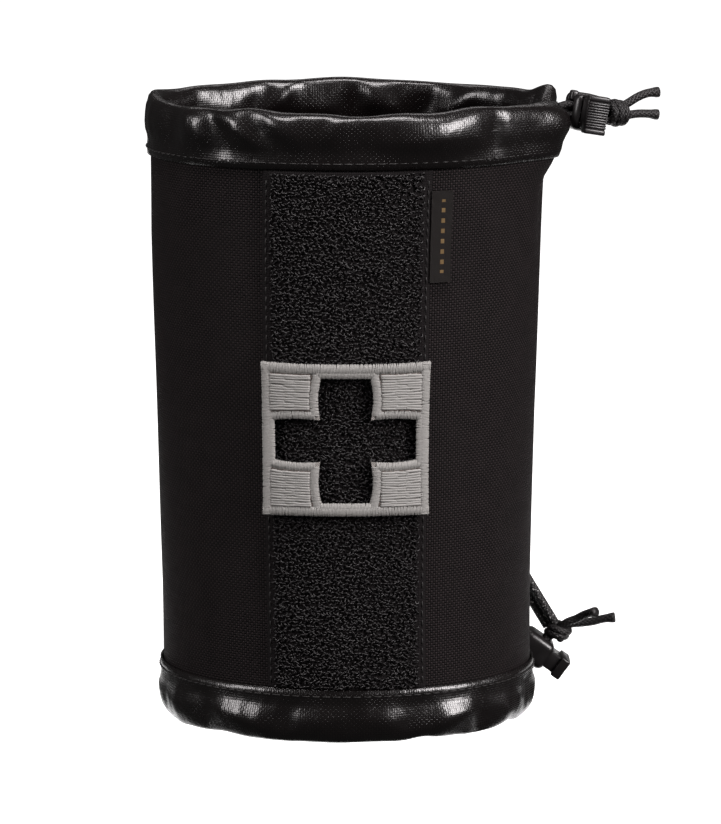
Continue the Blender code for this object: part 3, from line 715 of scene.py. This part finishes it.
tape = Shader("loop_ground", (0.0035, 0.0033, 0.0034), 0.9, Specular_IOR_Level=0.15)
u, v, _ = tape.axes("UV")
rib = weave(tape, 0.5, u, v)
# Painted shade: the ground is painted darker between its threads and lighter on their crowns.
tape.set("Base Color", tape.mix(rib, (0.002, 0.0017, 0.0018), (0.014, 0.0115, 0.012)))
tape.bump(rib, 0.0002, 0.8)
arcs = np.linspace(-24.6, 24.6, 41)
levels = np.linspace(17.3, 174.2, 70)
edge = np.clip((24.6 - np.abs(arcs)) / 0.8, 0, 1) ** 0.5
field_turns = turn_of(FRONT, arcs, 95.75)[None, :]
tops = wall(field_turns, levels[:, None], 0.95 + 0.75 * edge[None, :]
            + sag(field_turns, levels[:, None]))
unders = wall(field_turns, levels[:, None], 0.7 + sag(field_turns, levels[:, None]))
both = np.concatenate([tops, unders[:, ::-1]], 1)
strip_uv = np.concatenate([arcs, arcs[::-1], arcs[:1]])
strip_uv = np.stack(np.broadcast_arrays(strip_uv[None, :], levels[:, None]), -1)


def capped(name, points, look, uv):
    """A flattened tube of points closed along its columns, with both ends filled."""
    made = skin(name, points, look, uv, close_rows=False)
    shape = bmesh.new()
    shape.from_mesh(made.data)
    bmesh.ops.holes_fill(shape, edges=[e for e in shape.edges if e.is_boundary])
    bmesh.ops.recalc_face_normals(shape, faces=shape.faces)
    shape.to_mesh(made.data)
    shape.free()
    made.data.set_sharp_from_angle(angle=radians(50))
    return made


ground = capped("loop_tape_ground", both, tape, strip_uv)
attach(ground, "pouch")
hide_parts("loop_field")

pile = Shader("loop_pile", (0.005, 0.0042, 0.0045), 0.42, Specular_IOR_Level=0.5)
tint = pile.noise("Object", 700.0, 2.0)
pile.set("Base Color", pile.mix(tint, (0.0012, 0.0009, 0.001), (0.014, 0.0115, 0.0125)))
rng = np.random.default_rng(8)
loop_shapes = []
for number, (wide, tall, lean) in enumerate(((0.5, 0.8, 0.2), (0.62, 0.65, -0.25), (0.4, 0.95, 0.4))):
    bend = np.linspace(-0.3, pi + 0.3, 6)
    path = np.stack([wide * np.cos(bend), lean * np.sin(bend), tall * np.sin(bend)], 1)
    loop_shapes.append(thread_shape(f"loop_{number}", path, 0.2, 4))


def pile_piece(name, low, high, left, right, seed, step=1.0):
    """Loops in near-level rows over part of the field."""
    rng = np.random.default_rng(seed)
    batches = [[], [], []]
    for row, height in enumerate(np.arange(low, high, step)):
        for arc in np.arange(left + step * 0.5 * (row % 2), right, step):
            at = arc + rng.uniform(-0.3, 0.3)
            level = min(max(height + rng.uniform(-0.3, 0.3), 17.9), 173.6)
            turn = float(turn_of(FRONT, at, 95.75))
            lift = 1.72 + float(sag(turn, level))
            point, x, z = along_wall(turn, level, lift, rng.normal(0.5 * (-1) ** row, 0.4))
            z = z + Vector((rng.normal(0, 0.3), rng.normal(0, 0.2), rng.normal(-0.1, 0.35)))
            batches[rng.integers(3)].append((point, x, z))
    items = [repeat(f"{name}_{k}", loop_shapes[k], batch, pile, 0.22, seed + k)
             for k, batch in enumerate(batches)]
    joined = join(name, items)
    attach(joined, "pouch")


def join(name, items):
    """Several plain meshes of one material as one piece."""
    shape = bmesh.new()
    look = items[0].data.materials[0]
    for item in items:
        shape.from_mesh(item.data)
        bpy.data.objects.remove(item)
    mesh = bpy.data.meshes.new(name)
    shape.to_mesh(mesh)
    shape.free()
    mesh.materials.append(look)
    made = bpy.data.objects.new(name, mesh)
    scene.collection.objects.link(made)
    return made


pile_piece("pile_upper", 117.0, 174.0, -21.6, 21.7, 31)
pile_piece("pile_lower", 17.8, 72.0, -21.6, 21.7, 32)
pile_piece("pile_in_cross", 73.5, 114.5, -21.4, 21.5, 33)

side_rows = []
for arc in (-23.2, 23.2):
    for level in np.arange(19.5, 173.0, 2.9):
        turn = float(turn_of(FRONT, arc, 95.75))
        side_rows.append(along_wall(turn, level, 1.74 + float(sag(turn, level)), pi / 2))
tape_stitches = repeat("tape_stitches", stitch, side_rows, thread, 0.05, 9)
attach(tape_stitches, "pouch")

# ---------------------------------------------------------------- cross patch
# Light grey twill with a hook-tape back and the cross cut out of both; a satin stitch
# binds the outer edge and the cut-out, and level laid threads fill each corner.

HALF_WIDE, LOW, HIGH, MIDDLE = 23.9, 71.0, 117.3, 93.9
ARM_WIDE, ARM_TALL, REACH_WIDE, REACH_TALL = 7.2, 6.4, 20.6, 19.4


def flared(x, z):
    """The patch's outline pulls in between its corners, and the cut-out's arms swell."""
    x, z = np.asarray(x, float), np.asarray(z, float)
    far, high = np.abs(x), np.abs(z - MIDDLE)
    wide, tall = far / HALF_WIDE, high / 23.15
    dx = -0.45 * np.clip((wide - 0.86) / 0.14, 0, 1) * np.clip(1 - tall**4, 0, 1)
    dz = -0.55 * np.clip((tall - 0.82) / 0.18, 0, 1) * np.clip(1 - wide**4, 0, 1)
    up = np.clip((high - ARM_TALL) / (REACH_TALL - ARM_TALL), 0, 1)
    near = np.where(far < ARM_WIDE, far / ARM_WIDE, np.clip(1 - (far - ARM_WIDE) / 7, 0, 1))
    dx = dx + near * (0.75 * np.sin(pi * up) - 0.45 * up**3)
    along = np.clip((far - ARM_WIDE) / (REACH_WIDE - ARM_WIDE), 0, 1)
    near = np.where(high < ARM_TALL, high / ARM_TALL, np.clip(1 - (high - ARM_TALL) / 7, 0, 1))
    dz = dz + near * (0.45 * np.sin(pi * along) - 0.4 * along**3)
    return x + np.sign(x) * dx, z + np.sign(z - MIDDLE) * dz


def on_patch(x, z, out):
    x, z = flared(x, z)
    return wall(turn_of(FRONT, x, 94.15), z, out)


def stops(points, step):
    """Grid lines through every given stop, no further apart than the step."""
    lines = [points[0]]
    for a, b in zip(points, points[1:]):
        lines += list(np.linspace(a, b, max(2, int((b - a) / step) + 1))[1:])
    return np.array(lines)


def patch_plate(name, inner, outer, shrink, look):
    """A plate with the cross cut out; shrink draws every edge in."""
    xs = stops([-HALF_WIDE + shrink, -REACH_WIDE, -ARM_WIDE, ARM_WIDE, REACH_WIDE,
                HALF_WIDE - shrink], 0.9)
    zs = stops([LOW + shrink, MIDDLE - REACH_TALL, MIDDLE - ARM_TALL, MIDDLE + ARM_TALL,
                MIDDLE + REACH_TALL, HIGH - shrink], 0.9)
    x, z = np.meshgrid(xs, zs)
    verts = np.concatenate([on_patch(x, z, level).reshape(-1, 3) for level in (outer, inner)])
    count, wide = len(xs) * len(zs), len(xs)
    quads, uv = [], []
    for r in range(len(zs) - 1):
        for c in range(wide - 1):
            mx, mz = abs(xs[c] + xs[c + 1]) / 2, abs((zs[r] + zs[r + 1]) / 2 - MIDDLE)
            if (mx < ARM_WIDE and mz < REACH_TALL) or (mx < REACH_WIDE and mz < ARM_TALL):
                continue
            corners = [(r, c), (r, c + 1), (r + 1, c + 1), (r + 1, c)]
            quads.append([a * wide + b for a, b in corners])
            uv += [(xs[b], zs[a]) for a, b in corners]
    once = {}
    for quad in quads:
        for a, b in zip(quad, quad[1:] + quad[:1]):
            once[(a, b)] = (b, a) not in once
            if not once[(a, b)]:
                del once[(a, b)]
                once.pop((b, a))
    under = [[i + count for i in quad[::-1]] for quad in quads]
    uv += [corner for k in range(len(quads)) for corner in uv[4 * k:4 * k + 4][::-1]]
    walls = [[a, a + count, b + count, b] for a, b in once]
    uv += [(0, 0)] * (4 * len(walls))
    item = new_object(name, verts, quads + under + walls, look, uv)
    shape = bmesh.new()
    shape.from_mesh(item.data)
    loose = [vert for vert in shape.verts if not vert.link_faces]
    bmesh.ops.delete(shape, geom=loose, context="VERTS")
    bmesh.ops.recalc_face_normals(shape, faces=shape.faces)
    shape.to_mesh(item.data)
    shape.free()
    item.data.set_sharp_from_angle(angle=radians(50))
    return item


hook = Shader("hook_ground", (0.006, 0.006, 0.006), 0.7, Specular_IOR_Level=0.3)
u, v, _ = hook.axes("UV")
hook.bump(weave(hook, 0.9, u, v), 0.0003)
hook.set("Roughness", 0.6 + hook.noise("Object", 900.0) * 0.2)
backing = patch_plate("hook_backing", 2.7, 3.7, 0.35, hook)
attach(backing, "patch")
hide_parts("patch_hook_backing")

twill = Shader("patch_twill", (0.4, 0.385, 0.365), 0.8, Specular_IOR_Level=0.25)
u, v, _ = twill.axes("UV")
rows = ((u + v) / 0.55).math("FRACT")
rib = 1 - (rows * 2 - 1).math("POWER", 2.0)
# Painted shade: the diagonal twill ribs are painted lighter and their grooves darker; the noise on top
# is random tone.
twill.set("Base Color", twill.mix(rib * 0.8 + twill.noise("UV", 0.8) * 0.3, (0.15, 0.14, 0.13),
                                  (0.36, 0.34, 0.32)))
twill.bump(rib, 0.0002)
plate = patch_plate("patch_twill", 3.7, 4.75, 0.25, twill)
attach(plate, "patch")
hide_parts("patch_frame")

floss = Shader("embroidery_thread", (0.45, 0.43, 0.4), 0.6, Specular_IOR_Level=0.2)
strand = floss.noise("Object", 3400.0, 2.0)
floss.set("Base Color", floss.mix(strand, (0.215, 0.21, 0.2), (0.375, 0.367, 0.353)))
floss.set("Roughness", 0.42 + strand * 0.2)
satin = thread_shape("satin_stitch", [(-1.45, 0, -0.55), (-1.2, 0, 0.0), (-0.5, 0, 0.26),
                                      (0.5, 0, 0.26), (1.2, 0, 0.0), (1.45, 0, -0.55)], 0.27, 5)
narrow = thread_shape("narrow_satin", [(-1.25, 0, -0.5), (-1.0, 0, 0.0), (0, 0, 0.2),
                                       (1.0, 0, 0.0), (1.25, 0, -0.5)], 0.27, 5)
laid = thread_shape("laid_thread", [(-2.4, 0, -0.15), (-1.9, 0, 0.02), (0, 0, 0.1), (1.9, 0, 0.02),
                                    (2.4, 0, -0.15)], 0.46, 6)


def patch_place(x, z, out, heading):
    """A place on the patch; heading turns X on the wall, in the patch's flat axes."""
    here, beside, above = on_patch(np.array([x, x + 0.1, x]), np.array([z, z, z + 0.1]), out)
    level, up = Vector(beside - here).normalized(), Vector(above - here).normalized()
    return here, level * cos(heading) + up * sin(heading), level.cross(up)


def edge_run(corners, step, past=0.0):
    """Points along a closed outline, and past its corners, with the way each side runs."""
    for (ax, az), (bx, bz) in zip(corners, corners[1:] + corners[:1]):
        long = np.hypot(bx - ax, bz - az)
        ax, bx = ax - (bx - ax) / long * past, bx + (bx - ax) / long * past
        az, bz = az - (bz - az) / long * past, bz + (bz - az) / long * past
        long += 2 * past
        count = max(1, round(long / step))
        for k in range(count):
            share = (k + 0.5) / count
            yield ax + (bx - ax) * share, az + (bz - az) * share, np.arctan2(bz - az, bx - ax)


rng = np.random.default_rng(41)
inset = 1.35
outline = [(-HALF_WIDE + inset, LOW + inset), (HALF_WIDE - inset, LOW + inset),
           (HALF_WIDE - inset, HIGH - inset), (-HALF_WIDE + inset, HIGH - inset)]
border = [patch_place(x, z, 4.9, heading + pi / 2 + rng.normal(0, 0.07))
          for x, z, heading in edge_run(outline, 0.42, 1.25)]
w, t, a, b = ARM_WIDE + 1.25, ARM_TALL + 1.25, REACH_WIDE + 0.9, REACH_TALL + 1.0
cross = [(-w, -b), (w, -b), (w, -t), (a, -t), (a, t), (w, t), (w, b), (-w, b), (-w, t), (-a, t),
         (-a, -t), (-w, -t)]
cross = [(x, z + MIDDLE) for x, z in cross]
cut_edge = [patch_place(x, z, 4.85, heading + pi / 2 + rng.normal(0, 0.08))
            for x, z, heading in edge_run(cross, 0.42)]
fills = []
for side in (-1, 1):
    for low in (74.3, 103.5):
        for row, z in enumerate(np.arange(low, low + 10.3, 0.78)):
            for x in (12.2, 15.6, 19.0):
                slip = 0.7 * ((row * 7 + int(x)) % 3 - 1) * (x == 15.6)
                fills.append(patch_place(side * (x + slip), z + rng.normal(0, 0.07), 4.95,
                                         rng.normal(0, 0.035)))
tack = thread_shape("tack", [(-0.62, 0, -0.15), (-0.4, 0, 0.0), (0.4, 0, 0.0), (0.62, 0, -0.15)], 0.17)
tacks = []
for side in (-1, 1):
    for low in (73.75, 102.85):
        frame_line = [(9.75, low), (21.45, low), (21.45, low + 11.3), (9.75, low + 11.3)]
        tacks += [patch_place(side * x, z, 4.98, heading * side)
                  for x, z, heading in edge_run(frame_line, 1.75)]
# Dark run stitches round each corner fill: a brownish thread, and painted shade for the sunk line where
# the fills meet the twill.
shadow = Shader("run_thread_groove_shade", (0.09, 0.07, 0.062), 0.7, Specular_IOR_Level=0.15)
shadow.set("Base Color", shadow.mix(shadow.noise("Object", 900.0), (0.05, 0.036, 0.032),
                                    (0.17, 0.14, 0.125)))
item = repeat("patch_run_stitches", tack, tacks, shadow, 0.1, 14)
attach(item, "patch")
for name, shape, places, stands in (
    ("satin_border", satin, border, ()),
    ("satin_cut_edge", narrow, cut_edge, ()),
    ("corner_fills", laid, fills, ("upper_left", "upper_right", "lower_left", "lower_right")),
):
    item = repeat(name, shape, places, floss, 0.05, 12)
    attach(item, "patch")
    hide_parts(*("patch_fill_" + corner for corner in stands))

# ---------------------------------------------------------------- side label
# A folded black woven ribbon caught under the tape's edge, with small gold marks woven
# down its middle in place of any wording.

ribbon = Shader("label_ribbon", (0.006, 0.0042, 0.0035), 0.6, Specular_IOR_Level=0.2)
u, v, _ = ribbon.axes("UV")
rib = (v / 0.32).math("FRACT")
rib = 1 - (rib * 2 - 1).math("POWER", 2.0)
middle = (u - 28.6).math("ABSOLUTE").math("LESS_THAN", 0.55)
marks = ((v - 143.0) / 3.1).math("FRACT").math("LESS_THAN", 0.42)
inside = v.math("GREATER_THAN", 143.4) * v.math("LESS_THAN", 165.5)
ribbon.set("Base Color", ribbon.mix(middle * marks * inside, (0.006, 0.0042, 0.0035),
                                    (0.17, 0.11, 0.045)))
ribbon.bump(rib, 0.00015)
arcs, levels = np.linspace(24.9, 31.4, 9), np.linspace(140.6, 168.0, 24)
curl = 0.25 * np.sin(levels / 5.0)[:, None] * ((arcs - 24.9) / 6.9)[None, :] ** 2
turn = turn_of(FRONT, arcs, 154.3)[None, :]
base = sag(turn, levels[:, None])
ply_outs = (1.8, 1.05, 1.25, 1.6)  # outer face, back, and the two faces inside the fold
plies = [wall(turn, levels[:, None], out + curl + base) for out in ply_outs]
plies = [plies[0], plies[1][:, ::-1], plies[2][:, :-1], plies[3][:, -2::-1]]
u_line = np.concatenate([arcs, arcs[::-1], arcs[:-1], arcs[-2::-1], arcs[:1]])
uv = np.stack(np.broadcast_arrays(u_line[None, :], levels[:, None]), -1)
label = capped("woven_label", np.concatenate(plies, 1), ribbon, uv)
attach(label, "pouch")
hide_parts("side_label")

# ---------------------------------------------------------------- cord locks
# Moulded acetal: a rounded body with a cross BORE, and a plunger with a ribbed head that
# a spring inside holds up against the cord.

acetal = Shader("moulded_acetal", (0.009, 0.008, 0.0082), 0.3, Specular_IOR_Level=0.5)
fine = acetal.noise("Object", 2600.0, 3.0)
wear = acetal.noise("Object", 240.0, 2.0)
acetal.set("Base Color", acetal.mix(wear, (0.006, 0.005, 0.0052), (0.013, 0.0115, 0.012)))
acetal.set("Roughness", 0.24 + wear * 0.14)
acetal.bump(fine, 0.00006, 0.6)


def rounded_block(size, centre, bevel, segments=3):
    shape = bmesh.new()
    bmesh.ops.create_cube(shape, size=1.0)
    bmesh.ops.scale(shape, vec=size, verts=shape.verts)
    bmesh.ops.translate(shape, vec=centre, verts=shape.verts)
    if bevel:
        bmesh.ops.bevel(shape, geom=shape.edges[:], offset=bevel, segments=segments, profile=0.5,
                        affect="EDGES", clamp_overlap=True)
    mesh = bpy.data.meshes.new("block")
    shape.to_mesh(mesh)
    shape.free()
    made = bpy.data.objects.new("block", mesh)
    scene.collection.objects.link(made)
    return made


def carved(name, solid, cutters, added, matrix, look):
    """The solid with others joined to it and cutters taken out, put in its place."""
    for other, kind in [(item, "UNION") for item in added] + [(item, "DIFFERENCE")
                                                             for item in cutters]:
        step = solid.modifiers.new(kind, "BOOLEAN")
        step.operation, step.solver, step.object = kind, "EXACT", other
    made = settle(solid, name, look, (*cutters, *added))
    made.data.transform(Matrix.Scale(0.001, 4) @ matrix)
    made.data.set_sharp_from_angle(angle=radians(38))
    return made


for end, matrix in (("top", top_frame), ("bottom", bottom_frame)):
    case = rounded_block((9.6, 11.5, 11.0), (0, 0, 0), 2.4, 5)
    ear = rounded_block((2.6, 3.4, 2.6), (-4.4, 4.6, 1.2), 0.8)
    pocket = rounded_block((6.3, 9.9, 12.4), (0, 0, 1.5), 0.5, 2)
    hole = rounded_block((14.0, 7.1, 3.2), (0, 0, 1.5), 1.2, 4)
    shell = carved(end + "_lock_shell", case, [pocket, hole], [ear], matrix, acetal)
    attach(shell, "pouch")
    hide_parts(end + "_lock_body")
    low = FACE + 2.9  # the head stands off the body by the plunger's travel and a little
    head = rounded_block((7.0, 11.8, 2.7), (0, 0, low + 1.35), 0.6)
    bars = [rounded_block((6.8, 0.55, 1.4), (0, y + side * 0.37, low + 2.55), 0.14, 2)
            for y in np.linspace(-3.2, 3.2, 5) for side in (-1, 1)]
    caps = [rounded_block((7.0, 1.7, 1.5), (0, y, low + 2.5), 0.5) for y in (5.0, -5.0)]
    stem = rounded_block((5.6, 9.2, 9.7), (0, 0, low - 4.55), 0.4, 2)
    window = rounded_block((8.0, 7.1, 5.7), (0, 0, low - 5.75), 0)
    plunger = carved(end + "_plunger_head", head, [window], [stem, *bars, *caps], matrix, acetal)
    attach(plunger, end + "_plunger_body")
    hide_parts(end + "_plunger")
    for letter in "ab":
        strand_item, route = strands[end, letter]
        length = float(np.linalg.norm(np.diff(route, axis=0), axis=1).sum()) * 0.001
        tuple(route[0] * 0.001)
        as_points(route * 0.001)

steel = Shader("spring_wire", (0.55, 0.54, 0.52), 0.28, Metallic=1.0)
steel.set("Roughness", 0.22 + steel.noise("Object", 1500.0) * 0.15)
for end, matrix in (("top", top_frame), ("bottom", bottom_frame)):
    turn = np.linspace(0, 6 * pi, 73)
    coil = np.stack([2 * np.cos(turn), 2 * np.sin(turn), np.linspace(-4.15, -1.55, 73)], 1)
    verts, faces, uv = tube_parts(coil, 0.25, 8, matrix)
    spring = outward(new_object(end + "_coil_spring", verts * 0.001, faces, steel, uv))
    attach(spring, "pouch")
    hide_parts(end + "_spring")
    end + "_plunger_press"
    tuple(matrix @ Vector((0, 0, -4.4)) * 0.001)
    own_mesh(spring)

# ---------------------------------------------------------------- retaining elastic
# A doubled 3 mm elastic through a sewn tab on the back of the sleeve; its ends are tied
# into the lower stopper knot, so the lock hangs where the hand finds it.

tab_turn = float(turn_of(BACK, -41.0, 60.0))
apex = wall(tab_turn, 60.0, 3.0) * 1000
normal = wall(tab_turn, 60.0, 1.0) - wall(tab_turn, 60.0, 0.0)
normal = normal / np.linalg.norm(normal)
knot = np.array(bottom_frame @ Vector((8.2, 0.0, 2.2)))
way = (knot - apex) / np.linalg.norm(knot - apex)
across = np.cross(normal, way)
across /= np.linalg.norm(across)
reach = np.linalg.norm(knot - apex) - 2.4
half = [apex + way * reach + across * 1.65, apex + way * reach * 0.45 + across * 1.95]
round_tab = [apex + way * 4.6 + across * 4.6 * cos(a) - way * 4.6 * sin(a)
             for a in np.linspace(0, pi, 7)]
route = catmull(half + round_tab + [apex + way * reach * 0.45 - across * 1.95,
                                    apex + way * reach - across * 1.65])
elastic = tube("retaining_elastic", route, 1.4, stretched_look)
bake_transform(elastic)
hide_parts("retainer_elastic")
tuple(route[0] * 0.001)
float(np.linalg.norm(np.diff(route, axis=0), axis=1).sum()) * 0.001
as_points(route * 0.001)

# ---------------------------------------------------------------- webbing and straps behind
# Black nylon webbing: two level rows bar-tacked to the sleeve, and two 25 mm straps that
# thread behind a carrier's webbing and close with snaps.

web = Shader("nylon_webbing", (0.008, 0.0075, 0.0075), 0.6, Specular_IOR_Level=0.35)
u, v, _ = web.axes("UV")
chevron = ((u + (v / 1.6).math("PINGPONG", 1.0) * 1.1) / 1.1).math("FRACT")
rib = 1 - (chevron * 2 - 1).math("POWER", 2.0)
# Painted shade: the chevron ribs are painted lighter and the grooves between them darker.
web.set("Base Color", web.mix(rib, (0.0025, 0.0022, 0.0022), (0.015, 0.014, 0.0138)))
web.set("Roughness", 0.72 - rib * 0.2)
web.bump(rib, 0.00035)


def webbing_strip(name, arcs, levels, outs):
    """A level strip of webbing on the wall from arcs and levels, with a rounded edge."""
    turn = turn_of(BACK, arcs, 94.0)[None, :]
    tops = wall(turn, levels[:, None], outs)
    unders = wall(turn, levels[:, None], np.minimum(outs - 1.2, 0.9))
    both = np.concatenate([tops, unders[:, ::-1]], 1)
    a, z = np.broadcast_arrays(np.concatenate([arcs, arcs[::-1], arcs[:1]])[None, :],
                               levels[:, None])
    return capped(name, both, web, np.stack((a, z), -1))


bars = []
for name, low in (("upper", 110.0), ("lower", 60.0)):
    arcs, levels = np.linspace(-35, 35, 71), np.linspace(low, low + 25, 15)
    rim = np.minimum(levels - low, low + 25 - levels)[:, None]
    row = webbing_strip(f"carrier_row_{name}", arcs, levels, 2.4 - 0.35 * np.exp(-rim / 0.7))
    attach(row, "pouch")
    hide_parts("webbing_row_" + name)
    for arc in (-33.5, 0.0, 33.5):
        turn = float(turn_of(BACK, arc, 94.0))
        bars += [along_wall(turn, z, 2.42, 0.0) for z in np.arange(low + 1.2, low + 24.2, 0.62)]
bar_tacks = repeat("bar_tacks", stitch, bars, thread, 0.05, 15)
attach(bar_tacks, "pouch")

blackened = Shader("blackened_brass", (0.02, 0.019, 0.018), 0.35, Metallic=0.8)
scuffs = blackened.noise("Object", 520.0, 4.0)
blackened.set("Roughness", 0.25 + scuffs * 0.25)
blackened.set("Base Color", blackened.mix(scuffs, (0.012, 0.0115, 0.011), (0.05, 0.046, 0.04)))


def turned(name, profile, matrix, look, sides=40):
    """A turned piece from (radius, height) points, in the axes of the matrix."""
    angle = np.linspace(0, 2 * pi, sides, endpoint=False)
    points = np.array([[(r * cos(t), h, r * sin(t)) for t in angle] for r, h in profile])
    flat = points.reshape(-1, 3) @ np.array(matrix.to_3x3()).T + np.array(matrix.translation)
    uv = np.zeros((len(profile) + 1, sides + 1, 2))
    item = skin(name, flat.reshape(points.shape) * 0.001, look, uv, close_rows=False)
    shape = bmesh.new()
    shape.from_mesh(item.data)
    bmesh.ops.remove_doubles(shape, verts=shape.verts, dist=1e-7)
    bmesh.ops.recalc_face_normals(shape, faces=shape.faces)
    shape.to_mesh(item.data)
    shape.free()
    return item


for name, side in (("left", 1), ("right", -1)):
    angle = float(turn_of(BACK, side * 19.5, 93.9))
    foot, away = wall(angle, 93.9, 0.0) * 1000, wall(angle, 93.9, 1.0) * 1000
    facing = away - foot
    turn = Matrix.Rotation(np.arctan2(facing[1], facing[0]) - pi / 2, 4, "Z")
    frame_at = Matrix.Translation((foot[0], foot[1], 0)) @ turn
    x, z = np.linspace(-12.5, 12.5, 15), np.linspace(36.0, 158.0, 60)
    thick = 1.5 - 0.3 * np.exp(-(12.5 - np.abs(x)) / 0.6)
    sides_of = [np.stack(np.broadcast_arrays(x[None, :], level[None, :], z[:, None]), -1)
                for level in (2.8 + thick, 2.8 + 0 * x)]
    both = np.concatenate([sides_of[0], sides_of[1][:, ::-1]], 1)
    both = both @ np.array(frame_at.to_3x3()).T + np.array(frame_at.translation)
    uv = np.stack(np.broadcast_arrays(z[:, None],
                                      np.concatenate([x, x[::-1], x[:1]])[None, :]), -1)
    strap = capped("strap_" + name, both * 0.001, web, uv)
    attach(strap, "strap_" + name)
    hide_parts("mounting_strap_" + name)
    at_snap = frame_at @ Matrix.Translation((0, 0, 46.0))
    dome = [(0, 5.65), (3.6, 5.75), (4.1, 6.0), (4.8, 6.0), (5.6, 5.6), (6.0, 5.0), (6.0, 4.6), (0, 4.6)]
    cap = turned("snap_dome_" + name, dome, at_snap, blackened)
    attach(cap, "strap_" + name)
    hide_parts("snap_cap_" + name)
    post = [(0, 2.5), (2.6, 2.5), (3.0, 2.2), (3.0, 1.7), (4.6, 1.6), (4.8, 1.3), (4.8, 1.1), (0, 1.1)]
    stud = turned("snap_post_" + name, post, at_snap, blackened)
    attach(stud, "pouch")
    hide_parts("snap_stud_" + name)

nodes["retainer_tab"].data.materials[0] = web.made
